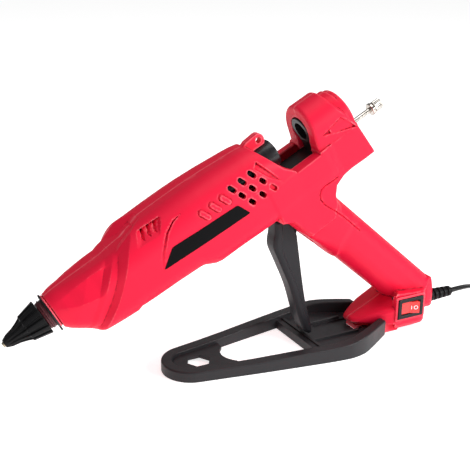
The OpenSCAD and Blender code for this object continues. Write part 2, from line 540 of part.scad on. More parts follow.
// stand ---------------------------------------------------------------
arm_out = [[110, 41.8], [120, 42.3], [130, 40.4], [140, 36], [150, 30.8], [161, 24.9]];
arm_in = [[161, 17.2], [150, 22.6], [140, 27.6], [130, 31.9], [120, 33.8], [110, 33.5]];
tip_a = 10;
tip_t = [-tip_r*sin(tip_a), tip_r*cos(tip_a)];
arm_plan = concat([[110, 33.5], [24, 18.2], [0, 13.9], [0, 0], [-12, 0], [-12, 12], tip_t], arm_out, arm_in);
arm_top = [[-30, -1], [170, -1], [170, 15.6], [150, 15.4], [130, 14.4], [120, 12.8], [110, 11.7], [40, 8.6], [-30, 8]];
module stand_outline() {
  polygon([tip_t, [110, 41.8], [120, 42.3], [130, 40.4], [140, 36], [150, 30.8], [161, 24.9], [161, 17.2], [150, 22.6], [140, 27.6], [130, 31.9], [120, 33.8], [110, 33.5], [10, 15.9], [0, 0]]);
}
module stand() color(STAND) flat() difference() {
  union() {
    intersection() {
      up(0, 20) difference() {
        union() {
          circle(tip_r, $fn = 96);
          for (m = [0, 1]) mirror([0, m]) stand_outline();
        }
        circle(tip_r - arm_w, $fn = 96);
        polygon([[0, 14.5], [104, 31.5], [104, -31.5], [0, -14.5]]);
      }
      side(-60, 60) polygon(arm_top);
    }
    // thin web round the spanner hole
    up(2.2, 5) difference() {
      intersection() { circle(60); polygon([[-19, 0], [-14, 14], [0, 19], [32, 24.5], [32, -24.5], [0, -19], [-14, -14]]); }
      translate([42, 0]) circle(16, $fn = 72);
    }
    // cross bar and deck between the arms
    up(0, 7) polygon([[92, 35.5], [98, 35.5], [98, -35.5], [92, -35.5]]);
    up(3, 6) polygon([[96, 35.5], [128, 33.5], [146, 26], [161, 18], [161, -18], [146, -26], [128, -33.5], [96, -35.5]]);
    for (m = [0, 1]) mirror([0, m, 0]) translate([97, 13, 0]) cube([46, 2.4, 8]);
  }
  // spanner hole
  translate([6, 0, -1]) cylinder(h = 20, r = hex_af/2/cos(30), $fn = 6);
  // slot that takes the gun's tongue, and room under the boat-shaped nose
  translate([143, -7.2, -1]) cube([30, 14.4, 20]);
  // underside of the arm ends rises
  side(-60, 60) polygon([[132, -1], [170, -1], [170, 4.2], [161, 3.2]]);
  up(-1, 30) polygon([[158, -40], [170, -40], [170, -10], [162.5, -10]]);
  up(-1, 30) polygon([[158, 40], [162.5, 10], [170, 10], [170, 40]]);
}

left_shell();
right_shell();
housing_screws();
side_labels();
nozzle();
nozzle_shroud();
nozzle_seal();
front_plate();
melt_chamber();
front_support();
rear_support();
heater_cores();
heater_film();
heater_clamp();
thermal_fuse();
inlet_sleeve();
sleeve_clamp();
wiring();
rear_guide_bush();
feed_carriage();
stick_gripper();
gripper_pin();
trigger();
trigger_pin();
drive_pin();
trigger_spring();
stop_pad();
adjuster_screw();
adjuster_knob();
adjuster_nut();
switch_body();
switch_terminals();
rocker();
cord_clamp();
clamp_screws();
strain_relief();
power_cord();
cord_coil();
cord_tie();
mains_plug();
plug_blades();
stand();
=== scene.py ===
"""Glue gun on its slide-off stand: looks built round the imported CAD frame. Metres, row frame."""
import bpy
import math
import numpy as np
from mathutils import Matrix, Vector


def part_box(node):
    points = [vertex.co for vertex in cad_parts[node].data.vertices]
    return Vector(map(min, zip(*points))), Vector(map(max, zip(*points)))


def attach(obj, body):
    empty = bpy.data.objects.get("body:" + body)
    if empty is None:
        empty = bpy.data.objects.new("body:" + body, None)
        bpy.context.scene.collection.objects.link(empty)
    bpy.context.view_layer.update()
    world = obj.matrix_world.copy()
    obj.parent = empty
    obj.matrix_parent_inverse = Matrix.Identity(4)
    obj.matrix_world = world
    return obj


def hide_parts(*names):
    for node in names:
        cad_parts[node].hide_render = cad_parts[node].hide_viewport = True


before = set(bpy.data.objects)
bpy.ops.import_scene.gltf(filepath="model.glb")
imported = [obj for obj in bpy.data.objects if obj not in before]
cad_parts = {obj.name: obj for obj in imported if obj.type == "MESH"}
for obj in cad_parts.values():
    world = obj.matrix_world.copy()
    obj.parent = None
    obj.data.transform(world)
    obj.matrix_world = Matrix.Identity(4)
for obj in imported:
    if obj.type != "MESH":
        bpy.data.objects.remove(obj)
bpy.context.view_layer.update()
scene = bpy.context.scene
SHIFT = 42.5          # flat drawing x minus row x, mm

# ---------------------------------------------------------------- camera
cam_data = bpy.data.cameras.new("view_camera")
cam_data.lens = 67.78
cam_data.sensor_width = 36.0
cam_data.clip_start = 0.02
cam_data.clip_end = 60.0
cam = bpy.data.objects.new("view_camera", cam_data)
scene.collection.objects.link(cam)
_r = Vector((0.8835, -0.4684, 0.0079)).normalized()
_f = Vector((0.4436, 0.8312, -0.3351)).normalized()
_u = _r.cross(_f).normalized()
_r = _f.cross(_u).normalized()
_m = Matrix((_r, _u, -_f)).transposed().to_4x4()
_m.translation = Vector((-0.29355, -0.53838, 0.31750))
cam.matrix_world = _m
scene.camera = cam
scene.view_settings.view_transform = "Standard"
scene.view_settings.look = "None"


# ---------------------------------------------------------------- materials
def _node(nt, kind, x, y, **sets):
    n = nt.nodes.new(kind)
    n.location = (x, y)
    for k, v in sets.items():
        setattr(n, k, v)
    return n


def surface(name, rgb, rough, metal=0.0, spread=0.08, blotch=18.0, grain=2600.0, bump=0.10,
            rough_spread=0.06, stretch=None, coat=0.0, coat_rough=0.2, glint_lift=0.0, spec=0.5, crease_shade=None, rim=None):
    """Moulded or machined finish: colour drifts slowly, roughness varies, and fine grain gives bump. Optional curvature
    colours paint shade into the hollows and a highlight onto the edges; an optional lift of the light end paints bright
    reflection patches.
    """
    m = bpy.data.materials.new(name)
    m.use_nodes = True
    nt = m.node_tree
    nt.nodes.clear()
    out = _node(nt, "ShaderNodeOutputMaterial", 900, 0)
    p = _node(nt, "ShaderNodeBsdfPrincipled", 600, 0)
    nt.links.new(p.outputs[0], out.inputs[0])
    p.inputs["Metallic"].default_value = metal
    p.inputs["Coat Weight"].default_value = coat
    p.inputs["Coat Roughness"].default_value = coat_rough
    p.inputs["Specular IOR Level"].default_value = spec
    tc = _node(nt, "ShaderNodeTexCoord", -900, 0)
    mp = _node(nt, "ShaderNodeMapping", -700, 0)
    if stretch:
        mp.inputs["Scale"].default_value = stretch
    nt.links.new(tc.outputs["Object"], mp.inputs["Vector"])
    big = _node(nt, "ShaderNodeTexNoise", -450, 250)
    big.inputs["Scale"].default_value = blotch
    big.inputs["Detail"].default_value = 3.0
    nt.links.new(tc.outputs["Object"], big.inputs["Vector"])
    ramp = _node(nt, "ShaderNodeMix", 100, 250, data_type="RGBA")
    lo = [c * (1 - spread) for c in rgb]
    # the light end of the drift can be lifted towards white: painted bright reflection patches
    hi = [min(1.0, c * (1 + spread * 0.6) + glint_lift) for c in rgb]
    ramp.inputs[6].default_value = (*lo, 1)
    ramp.inputs[7].default_value = (*hi, 1)
    nt.links.new(big.outputs["Fac"], ramp.inputs[0])
    last = ramp.outputs[2]
    if crease_shade:
        # painted shade in the hollows and a painted highlight on the edges, by curvature
        geo = _node(nt, "ShaderNodeNewGeometry", -450, 500)
        for (a, b, col, yy) in ((0.488, 0.445, crease_shade, 450), (0.515, 0.565, rim, 650)):
            mr = _node(nt, "ShaderNodeMapRange", 0, yy)
            mr.inputs["From Min"].default_value = a
            mr.inputs["From Max"].default_value = b
            nt.links.new(geo.outputs["Pointiness"], mr.inputs["Value"])
            mx = _node(nt, "ShaderNodeMix", 350, yy, data_type="RGBA")
            mx.inputs[7].default_value = (*col, 1)
            nt.links.new(mr.outputs[0], mx.inputs[0])
            nt.links.new(last, mx.inputs[6])
            last = mx.outputs[2]
    nt.links.new(last, p.inputs["Base Color"])
    mid = _node(nt, "ShaderNodeTexNoise", -450, 0)
    mid.inputs["Scale"].default_value = blotch * 9
    mid.inputs["Detail"].default_value = 5.0
    nt.links.new(mp.outputs["Vector"], mid.inputs["Vector"])
    rr = _node(nt, "ShaderNodeMapRange", 100, 0)
    rr.inputs["To Min"].default_value = max(0.02, rough - rough_spread)
    rr.inputs["To Max"].default_value = min(1.0, rough + rough_spread)
    nt.links.new(mid.outputs["Fac"], rr.inputs["Value"])
    nt.links.new(rr.outputs[0], p.inputs["Roughness"])
    fine = _node(nt, "ShaderNodeTexNoise", -450, -250)
    fine.inputs["Scale"].default_value = grain
    fine.inputs["Detail"].default_value = 2.0
    nt.links.new(mp.outputs["Vector"], fine.inputs["Vector"])
    bp = _node(nt, "ShaderNodeBump", 300, -250)
    bp.inputs["Strength"].default_value = bump
    bp.inputs["Distance"].default_value = 0.0002
    nt.links.new(fine.outputs["Fac"], bp.inputs["Height"])
    nt.links.new(bp.outputs[0], p.inputs["Normal"])
    return m


M = {
    # housing red, with painted shade in the creases and a painted highlight on the edges, both from curvature
    "red_housing": surface("red_housing", (0.82, 0.008, 0.044), 0.44, spread=0.04, grain=1500, bump=0.10, spec=0.17,
                           crease_shade=(0.22, 0.0, 0.010), rim=(0.92, 0.13, 0.17)),
    "steel_screws": surface("steel_screws", (0.45, 0.45, 0.46), 0.32, metal=1.0, grain=900, bump=0.15),
    "label_black": surface("label_black", (0.004, 0.004, 0.0045), 0.38, spread=0.3, grain=700, bump=0.04, spec=0.05),
    "brass": surface("brass", (0.42, 0.36, 0.26), 0.34, metal=1.0, grain=500, bump=0.1),
    "black_rubber": surface("black_rubber", (0.007, 0.007, 0.0075), 0.42, spread=0.25, grain=1800, bump=0.25, spec=0.14),
    "seal_rubber": surface("seal_rubber", (0.085, 0.008, 0.014), 0.5, grain=1200, bump=0.15),
    "black_plastic": surface("black_plastic", (0.010, 0.010, 0.011), 0.36, spread=0.2, grain=1600, bump=0.12, spec=0.3),
    "trigger_plastic": surface("trigger_plastic", (0.0135, 0.0128, 0.0158), 0.42, spread=0.15, grain=1700, bump=0.16, spec=0.25),
    "sleeve_plastic": surface("sleeve_plastic", (0.010, 0.010, 0.012), 0.28, spread=0.2, grain=1400, bump=0.08, spec=0.4),
    "aluminium": surface("aluminium", (0.72, 0.73, 0.74), 0.38, metal=1.0, grain=700, bump=0.3, stretch=(1, 6, 1)),
    "support_ring": surface("support_ring", (0.55, 0.52, 0.45), 0.6, grain=900, bump=0.2),
    "heater_plate": surface("heater_plate", (0.62, 0.60, 0.56), 0.55, grain=900, bump=0.2),
    "film": surface("film", (0.45, 0.25, 0.05), 0.25, grain=300, bump=0.1),
    "spring_steel": surface("spring_steel", (0.50, 0.50, 0.52), 0.28, metal=1.0, grain=900, bump=0.1),
    "fuse_body": surface("fuse_body", (0.62, 0.60, 0.55), 0.35, grain=600, bump=0.1),
    "wire_blue": surface("wire_blue", (0.06, 0.13, 0.45), 0.40, grain=900, bump=0.1),
    "pin_steel": surface("pin_steel", (0.58, 0.58, 0.60), 0.25, metal=1.0, grain=900, bump=0.08),
    # chrome: strong dark and near-white blotches in the colour are painted reflections and glints
    "chrome": surface("chrome", (0.34, 0.30, 0.25), 0.17, metal=1.0, spread=0.85, blotch=170.0, glint_lift=0.42, grain=600, bump=0.05, rough_spread=0.06),
    "switch_black": surface("switch_black", (0.010, 0.009, 0.010), 0.34, spread=0.2, grain=1500, bump=0.12, spec=0.25),
    "rocker_red": surface("rocker_red", (0.85, 0.020, 0.018), 0.22, spread=0.05, grain=500, bump=0.03, coat=0.4, coat_rough=0.1),
    "mark_white": surface("mark_white", (0.85, 0.85, 0.85), 0.4, spread=0.03, grain=900, bump=0.05),
    "terminal_brass": surface("terminal_brass", (0.70, 0.55, 0.25), 0.3, metal=1.0, grain=600, bump=0.1),
    "cord_black": surface("cord_black", (0.012, 0.012, 0.013), 0.42, spread=0.25, grain=900, bump=0.12, spec=0.35),
    "plug_black": surface("plug_black", (0.013, 0.013, 0.014), 0.44, spread=0.2, grain=1500, bump=0.2, spec=0.3),
    "tie_grey": surface("tie_grey", (0.10, 0.10, 0.10), 0.6, spread=0.2, grain=1400, bump=0.5),
    "stand_plastic": surface("stand_plastic", (0.021, 0.021, 0.0235), 0.44, spread=0.12, grain=1500, bump=0.28, spec=0.28),
}


# ---------------------------------------------------------------- mesh tools
def to_obj(name, V, F, mat, body, replaces=(), sharp=33.0, ratio=1.0):
    """V in flat-drawing millimetres."""
    V = np.asarray(V, float).copy()
    V[:, 0] -= SHIFT
    V *= 0.001
    F = np.asarray(F)
    me = bpy.data.meshes.new(name)
    k = F.shape[1]
    me.vertices.add(len(V))
    me.vertices.foreach_set("co", V.ravel())
    me.loops.add(F.size)
    me.loops.foreach_set("vertex_index", F.ravel().astype(np.int32))
    me.polygons.add(len(F))
    me.polygons.foreach_set("loop_start", np.arange(len(F), dtype=np.int32) * k)
    me.update(calc_edges=True)
    me.validate()
    ob = bpy.data.objects.new(name, me)
    scene.collection.objects.link(ob)
    if ratio < 1.0:
        d = ob.modifiers.new("thin", "DECIMATE")
        d.ratio = ratio
        dg = bpy.context.evaluated_depsgraph_get()
        slim = bpy.data.meshes.new_from_object(ob.evaluated_get(dg))
        ob.modifiers.clear()
        ob.data = slim
        bpy.data.meshes.remove(me)
        me = slim
        me.name = name
    return dress(ob, mat, body, replaces, sharp)


def dress(ob, mat, body, replaces=(), sharp=33.0):
    me = ob.data
    me.polygons.foreach_set("use_smooth", np.ones(len(me.polygons), bool))
    me.set_sharp_from_angle(angle=math.radians(sharp))
    me.materials.clear()
    me.materials.append(M[mat])
    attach(ob, body)
    if replaces:
        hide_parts(*replaces)
    return ob


# ---------------------------------------------------------------- distance functions of the housing (flat drawing, mm)
T0=math.radians(28.2); C0,S0=math.cos(T0),math.sin(T0)
NX,NZ=-136.9,51.0
def to_gun(x,z):
    dx=x-NX; dz=z-NZ
    return dx*C0+dz*S0, -dx*S0+dz*C0
def gun_xz(s,n): return NX+s*C0-n*S0, NZ+s*S0+n*C0
GA=math.radians(40.4); GC,GS=math.cos(GA),math.sin(GA)
def to_grip(x,z):
    dx=x-100.0; dz=z-111.3
    return dx*GC-dz*GS, dx*GS+dz*GC
def smin(a,b,k):
    h=np.maximum(k-np.abs(a-b),0.0)
    return np.minimum(a,b)-h*h*(0.25/k)
def smax(a,b,k): return -smin(-a,-b,k)
def rmax(a,b,r):
    # round outer edge of radius r where two faces meet
    return np.minimum(np.maximum(a,b),-r)+np.sqrt(np.maximum(a+r,0)**2+np.maximum(b+r,0)**2)
def poly(px,pz,pts):
    n=len(pts); d=None; s=None
    for i in range(n):
        ax,az=pts[i]; bx,bz=pts[i-1]
        ex,ez=bx-ax,bz-az; wx,wz=px-ax,pz-az
        t=np.clip((wx*ex+wz*ez)/(ex*ex+ez*ez),0,1)
        qx,qz=wx-ex*t,wz-ez*t
        q=qx*qx+qz*qz
        d=q if d is None else np.minimum(d,q)
        c1=pz>=az; c2=pz<bz; c3=ex*wz>ez*wx
        flip=(c1&c2&c3)|(~c1&~c2&~c3)
        s=flip if s is None else s^flip
    return np.where(s,-1.0,1.0)*np.sqrt(d)
def ip(s,tab):
    a=np.array(tab,float); return np.interp(s,a[:,0],a[:,1])
def loft(n,Y,w,t,b,Rt,Rb):
    c=(t+b)/2; h=(t-b)/2
    r=np.where(n>c,Rt,Rb)
    dy=Y-(w-r); dn=np.abs(n-c)-(h-r)
    return np.sqrt(np.maximum(dy,0)**2+np.maximum(dn,0)**2)+np.minimum(np.maximum(dy,dn),0)-r
WR=[(30,14),(38,15),(47,19.5),(60,23.4),(75,25.8),(92,27.2),(106,27.5),(150,27.2),(190,25.6),(215,23.8),(232,22.3),(257,21.5),(268,19.8),(300,19.5)]
WF=[(30,12.6),(38,13),(47,17.0),(60,21.0),(75,23.7),(92,25.5),(120,26.2)]
TR=[(60,21.3),(115,21.3),(130,21.7),(145,21.8),(160,21.7),(176,21.05),(190,20.0),(200,19.4),(206,18.8),(211,17.9),(216,16.6),(240,9)]
TF=[(30,11.2),(38,12.2),(43.6,13.1),(54,13.4),(70,13.4),(75,13.65),(80,13.9),(86,14.25),(91,14.6),(96,15.1),(101.6,15.6),(125,16)]
BR=[(30,-20),(50,-27.5),(61,-29.9),(66,-30.1),(75,-30.3),(85,-30.6),(88.8,-29.3),(100,-29.8),(110,-30.1),(120,-30.5),(130,-31.2),(138,-31.7),(141,-32.4),(145,-34.7),(149,-36.9),(153.6,-38.1),(159,-38.3),(170,-38.6),(190,-39.8),(212,-41),(245,-42)]
BF=[(30,-10.5),(38,-13.5),(42,-17.6),(46,-21),(58,-29.2),(66,-30.6),(105,-32),(120,-32.4)]
RT=[(30,12.3),(38,12.4),(47,14.5),(60,18),(75,20),(300,20)]
RB=[(30,12.3),(38,12.4),(47,13),(300,13)]
def barrel_parts(s,n,Y):
    rt=ip(s,RT); rb=ip(s,RB)
    R=loft(n,Y,ip(s,WR),ip(s,TR),ip(s,BR),rt,rb)
    tf=ip(s,TF); 
    F=loft(n,Y,ip(s,WF),tf,ip(s,BF),np.minimum(rt,16.0),rb)
    return F,R
COL=[(-40,58),(34,118)]
REAR=[[205,-41.5],[213,-46],[222,-66],[245,-66],[251.5,-58],[253.5,-50],[257.5,-44],[266,-41.5],[275,-40.8],[289,-41.2],[297.1,-41],[297.3,-39.5],[292.8,-14.2],[293.1,-12.8],[289.8,-5.6],[286.6,1.1],[283.8,7],[281.8,12],[280.6,16.8],[280.2,21],[260,21],[255,-12.8],[205,-12.8]]
RIM=[[292.8,-14.2],[293.1,-12.8],[289.8,-5.6],[286.6,1.1],[283.8,7],[281.8,12],[280.6,16.8],[280.2,21]]
SITES=((60,-24),(140,-27.4),(184,-33.5),(148,14.8),(284,-33.5),(242,-60))
NECK=[[77.5,104.8],[85,98.8],[96,91],[120,72.5],[136,100],[131.1,105],[119,113],[113.5,120.5],[110.5,127.4],[109.8,134.2],[115,141.5],[110,150],[70,130],[71,110.5]]
SWEEP=[[209,-36.5],[205,-47],[200.8,-55.5],[190,-60],[190,-130],[236.6,-130],[235.6,-124.8],[230.2,-82],[228.4,-61.7],[227.8,-46],[226.4,-36.5]]
S1=[(-42,50),(-30,57.5),(-23.3,62.9),(-20.3,66),(-16.1,71),(-11.7,76.3),(-6.2,82),(-0.4,87.2),(5.7,92.5),(11.2,97.5),(14.7,101.1),(18.2,105.7),(20.3,108.5),(21.3,110),(30,112)]
S2=[(-40,36),(-19,56.0),(-15.1,59.8),(-9.1,66.2),(-2.8,72.2),(3.4,78.3),(8.4,83.9),(11.6,87.7),(13.8,90.3),(16,94),(20,98)]
def seg3(s,n,y,pts):
    d=None
    for i in range(len(pts)-1):
        a=np.array(pts[i],float); b=np.array(pts[i+1],float); e=b-a; L=(e*e).sum()
        t=np.clip(((s-a[0])*e[0]+(n-a[1])*e[1]+(y-a[2])*e[2])/L,0,1)
        q=(s-a[0]-t*e[0])**2+(n-a[1]-t*e[1])**2+(y-a[2]-t*e[2])**2
        d=q if d is None else np.minimum(d,q)
    return np.sqrt(d)
def pill(s,n,cx,cn,ux,un,hl,hw):
    # slanted stadium in the side plane: negative inside
    a=(s-cx)*ux+(n-cn)*un; b=-(s-cx)*un+(n-cn)*ux
    return np.sqrt(np.maximum(np.abs(a)-(hl-hw),0)**2+b*b)-hw
def rbox(s,n,cx,cn,ux,un,hl,hw,r):
    a=np.abs((s-cx)*ux+(n-cn)*un)-(hl-r); b=np.abs(-(s-cx)*un+(n-cn)*ux)-(hw-r)
    return np.sqrt(np.maximum(a,0)**2+np.maximum(b,0)**2)+np.minimum(np.maximum(a,b),0)-r
VENTS=[(200.8,6.9),(205.5,-1.7),(210.6,-11.0),(191.9,7.1),(196.1,-1.2),(201.0,-10.2),(182.6,7.2),(186.8,-0.8),(191.5,-9.6)]
BLIND=(2,5)
BARS=[(174.6,4.6),(165.7,4.6),(156.6,4.6)]
VU=(0.466,-0.885)
LABEL=[[113.2,-10.9],[186.4,-15.5],[180.6,-4.4],[125.8,-0.3]]
GROOVE=[(216.6,11.9,4.6),(205.5,13.0,-2.4),(195,13.7,-8),(183.1,14.3,-13.5),(163.6,13.9,-19.0),(146.8,14.1,-21.2),(136.0,12.9,-22.6),(128.4,9.7,-24.8),(123.8,5.7,-26.5),(119.3,0.7,-27.4),(115.5,-5,-27.5),(113,-10.5,-27.5)]
def body(P,far=False):
    """Outer skin of the left side (y<0 mirrored through |y|), without openings."""
    x,y,z=P[:,0],P[:,1],P[:,2]; Y=np.abs(y)
    s,n=to_gun(x,z)
    # --- barrel -----------------------------------------------------
    rt=ip(s,RT); rb=ip(s,RB); w=ip(s,WR)
    R=loft(n,Y,w,ip(s,TR),ip(s,BR),rt,rb)
    wf=ip(s,WF); tf=ip(s,TF); rf=np.minimum(rt,16.0)
    F=loft(n,Y,wf,tf,ip(s,BF),rf,rb)
    b=math.radians(31); cb,sb=math.cos(b),math.sin(b)
    fade=np.clip((s-40)/30,0,1)
    g=(Y-(wf-rf))*cb+(n-(tf-rf))*sb-rf*(1-(1-math.cos(b))*fade)
    FP=np.maximum(F,g)
    q2=ip(n,S2)-4.6
    FP=FP+1.15*np.clip(1-(q2-s)/14,0,1)*np.clip((16-n)/5,0,1)*np.clip((n+24)/5,0,1)*(s<q2+6)
    t2=np.clip((s-(ip(n,S2)-4.6))/4.6,0,1)
    Fr=FP+(F-FP)*t2
    crown=np.clip((14-Y)/9,0,1)*np.clip(n/6,0,1)
    wd=5.4+4.6*np.clip((17-Y)/7,0,1)*np.clip(n/6,0,1)
    S0=ip(n,S1)+11.0*crown-wd
    Fr=Fr+1.6*np.clip(1-(S0-s)/12,0,1)*np.clip((14-n)/4,0,1)*np.clip((n+26)/4,0,1)
    t1=np.clip((s-S0)/wd,0,1)
    B=Fr+(R-Fr)*t1
    # pocket with three slits behind the collar
    near=(s>98)&(s<136)&(n>6)&(n<21)
    if near.any():
        sn_,nn_=s[near],n[near]
        pk=poly(sn_,nn_,[(105.4,12.2),(112.2,19.6),(131.4,19.2),(123.6,11.4)])
        # deep along the front and upper edges, running out to nothing at the lower one
        fr=((sn_-105.4)*0.737-(nn_-12.2)*0.676)          # distance behind the front edge
        up_=19.5-nn_
        dep=np.clip(fr/3.0,0,1)*np.clip(up_/1.1,0,1)*np.clip((nn_-11.2)/4.0,0,1)*1.7
        add=np.clip(-pk/0.5,0,1)*dep
        for (cs,cn) in ((114.5,15.9),(119.6,16.0),(124.5,15.9)):
            q=rbox(sn_,nn_,cs,cn,0.66,0.75,3.1,0.95,0.4)
            add=add+np.clip(-q/0.45,0,1)*1.7
        B[near]+=add
    # grooved border of the side panel
    near=(s>108)&(s<220)&(n>-14)&(n<18)&(R<3)&(R>-4)
    if near.any():
        q=seg3(s[near],n[near],y[near]*np.where(y[near]>0,-1,1),GROOVE)
        fadeg=np.clip((n[near]+13)/12,0,1)
        B[near]+=np.clip((1.25-q)/1.25,0,1)*1.3*fadeg
    # wedge-shaped recess under the rear rim
    near=(s>198)&(s<226)&(n>-22)&(n<18)
    if near.any():
        q=poly(s[near],n[near],[(208.9,11.4),(204.4,8.8),(210.3,-2.0),(220.5,-14.6)])
        B[near]+=np.clip(-q/0.9,0,1)*np.clip((n[near]+16)/20,0.15,1)*1.9
    # raised bars
    near=(s>148)&(s<184)&(n>-4)&(n<13)
    if near.any():
        q=None
        for (cs,cn) in BARS:
            v=pill(s[near],n[near],cs,cn,VU[0],VU[1],4.9,1.8)
            q=v if q is None else np.minimum(q,v)
        B[near]-=np.clip((0.35-q)/0.6,0,1)*1.35-np.clip((0.9-np.abs(q-0.5))/0.9,0,1)*0.3
    # slanted rear end of the barrel
    rear=poly(s,n,[(-60,60),(-60,-90),(262,-90),(262,-12.8),(232,-12.8),(224.3,-4.6),(213.4,15.2),(209.6,22),(188,60)])
    B=rmax(B,rear,0.7)
    # nose end and lips
    B=rmax(B,38.6-s,0.6)
    ra=np.sqrt(n*n+y*y)
    neckr=np.maximum(np.maximum(ra-11.6,36.9-s),s-41)
    lip=rmax(np.maximum(ra-12.6,s-37.9),36.9-s,0.4)
    B=np.minimum(B,np.minimum(neckr,lip))
    # --- rear block ------------------------------------------------
    wr=ip(s,[(205,24.6),(232,22.3),(257,21.5),(268,19.8),(302,19.5)])
    side=poly(s,n,REAR)
    ring=ra-19.5
    c1=np.maximum(Y-wr,n+12.8)                     # below the notch line
    q=np.maximum(np.maximum(Y-19.5,n),-30-n)       # flanks of the ring
    sec=np.minimum(np.minimum(c1,np.maximum(q,255-s)),np.maximum(ring,255-s))
    rims=poly(s,n,[[200,-60],[297.3,-60],[297.3,-39.5]]+RIM+[[280.2,60],[200,60]])
    A=rmax(sec,side,2.2)
    near=(s>255)&(s<304)&(n>-22)&(n<14)
    if near.any():
        sn_,nn_=s[near],n[near]
        tri=[(282.0,1.0),(291.2,-13.9),(261.8,-3.4)]
        q=poly(sn_,nn_,tri)
        # depth grows from the upper edge to the lower ledge
        e=np.array([282.0-261.8,1.0+3.4]); e=e/np.linalg.norm(e); nl=np.array([e[1],-e[0]])
        dist=(sn_-261.8)*nl[0]+(nn_+3.4)*nl[1]; dist=np.abs(dist)
        A[near]+=np.clip(-q/0.9,0,1)*np.clip(0.9+dist*0.2,0,2.9)
    # layered rear face: inset plate and round boss
    sec2=np.sqrt((n+1.0)**2+y*y)-16.4
    A2=rmax(np.maximum(sec2,270-s),rims-1.0-5.2*np.clip((n+5)/18,0,1),1.0)
    boss=rmax(np.maximum(np.sqrt((n+5.6)**2+y*y)-19.2,np.maximum(270-s,-16-n)),s-291.9,1.3)
    A=np.minimum(np.minimum(A,A2),boss)
    B1=smin(B,A,2.2)
    # --- neck and grip ------------------------------------------------
    u,v=to_grip(x,z)
    hw,ht=17.0,19.7
    v1=v-1.8; ht=17.9
    a=np.abs(u-62)-(74-15); bb=Y-(hw-15); cc=np.abs(v1)-(ht-15)
    bb=np.maximum(bb,0); cc=np.maximum(cc,0)
    sec=np.sqrt(bb*bb+cc*cc)+np.minimum(np.maximum(Y-(hw-15),np.abs(v1)-(ht-15)),0)-15
    G=rmax(sec,np.abs(u-62)-74,4.0)
    kk=np.clip((u-8)/26,0,1)
    N=rmax(poly(x,z,NECK),Y-18.0+1.9*kk,4.0+8.0*kk)
    # barrel to neck
    top=smin(B1,N,2.5)
    out=smin(top,G,5.0)
    # fine outline on the back of the neck
    near=(s>236)&(s<275)&(n>-100)&(n<-34)
    if near.any():
        ln=[(260,-38.0,-17.5),(252.5,-37.7,-19),(247.5,-37.2,-19.5),(243.6,-38.0,-20),(241.0,-40.8,-19.5),(239.9,-44.7,-18.5),(241.2,-49.9,-18),(244.1,-55.6,-17.5),(247.9,-62.1,-17),(252.9,-72.0,-17),(257.4,-83,-17),(261,-92,-17)]
        ln2=[(a_,b_) for a_,b_,_ in ln]
        q=None
        for i in range(len(ln2)-1):
            A0=np.array(ln2[i]);E=np.array(ln2[i+1])-A0;L=(E*E).sum()
            t=np.clip(((s[near]-A0[0])*E[0]+(n[near]-A0[1])*E[1])/L,0,1)
            dd=np.hypot(s[near]-A0[0]-t*E[0],n[near]-A0[1]-t*E[1])
            q=dd if q is None else np.minimum(q,dd)
        out[near]+=np.clip((0.9-q)/0.9,0,1)*0.85*(Y[near]>8)
    # --- foot --------------------------------------------------------
    BLK=[(166,0),(194,0),(201,2.6),(206,7),(212,10.5),(217,12),(217,24),(208,33),(166,36)]
    bl=poly(x,z,BLK); bp=poly(x,Y,[(176,-30),(176,17.6),(170.5,24),(196,24),(200,22.8),(203.4,20.2),(208,14),(213,7),(217,4),(217,-30)])
    bs_=poly(Y,z,[(-30,-3),(12.5,-3),(13.4,0),(17,1.4),(20.6,4.2),(23.2,7.6),(24.4,11.5),(25,16),(25,60),(-30,60)])
    K=rmax(rmax(bl,bp,1.6),bs_,2.0)
    NS=[(139.5,9.6),(163,8.8),(179,8.8),(179,31.0),(169.3,26.2),(142.6,13.9),(139.5,12.0)]
    NP=[(139.5,-30),(139.5,3.2),(140.8,6.2),(143.2,8.6),(149.5,12.8),(157,16.9),(164,20.8),(170.5,23.9),(179,23.9),(179,-30)]
    if far: NP=[(a_,min(b_,18.5)) for a_,b_ in NP]
    slope=(z-(9.0+(x-139.0)*0.462+3.6)+0.15*Y)*0.9
    Nn=rmax(np.maximum(poly(x,z,NS),slope),poly(x,Y,NP),2.4)
    tail=rmax(rmax(poly(x,z,[(194,8.5),(222.9,8.5),(222.9,21),(221.3,28),(216.2,38.4),(200,36)]),poly(x,Y,[(190,-30),(190,14),(211,14),(216.5,12.4),(220.5,9.4),(222.9,6.0),(222.9,-30)]),2.0),poly(Y,z,[(-30,8.5),(5.5,8.5),(10.5,11.4),(13.6,15.2),(14.4,20),(14.5,60),(-30,60)]),2.0)
    tongue=np.maximum(np.maximum(np.maximum(np.abs(x-157)-12,Y-6.5),np.abs(z-4.8)-1.8),-((x-145)*-0.2+(5.4-z)+1.6))
    K=np.minimum(K,Nn)
    K=smin(K,np.maximum(np.maximum(np.abs(x-173)-7,Y-17),np.abs(z-6)-6),0.8)
    if far:
        K=rmax(np.maximum(K,Y-18.5),(z-np.minimum(27.9+0.526*(x-148.7)-0.935*Y,20.4+0.806*(x-139.4)-1.145*Y))*0.66,1.2)
    # raised rim round the switch
    fr=rbox(x,z,185.1,22.2,1,0,14.6,10.6,2.0)
    near=(Y>15)&(y<0)&(not far)
    rim=np.maximum(np.maximum(fr,Y-25.2),20-Y)
    K=np.where(near,np.minimum(K,rmax(np.maximum(fr,20-Y),Y-25.2,0.8)),K)
    out=smin(out,smin(K,tail,1.0),0.9)
    out=np.minimum(out,tongue)
    return out,s,n,Y,u,v
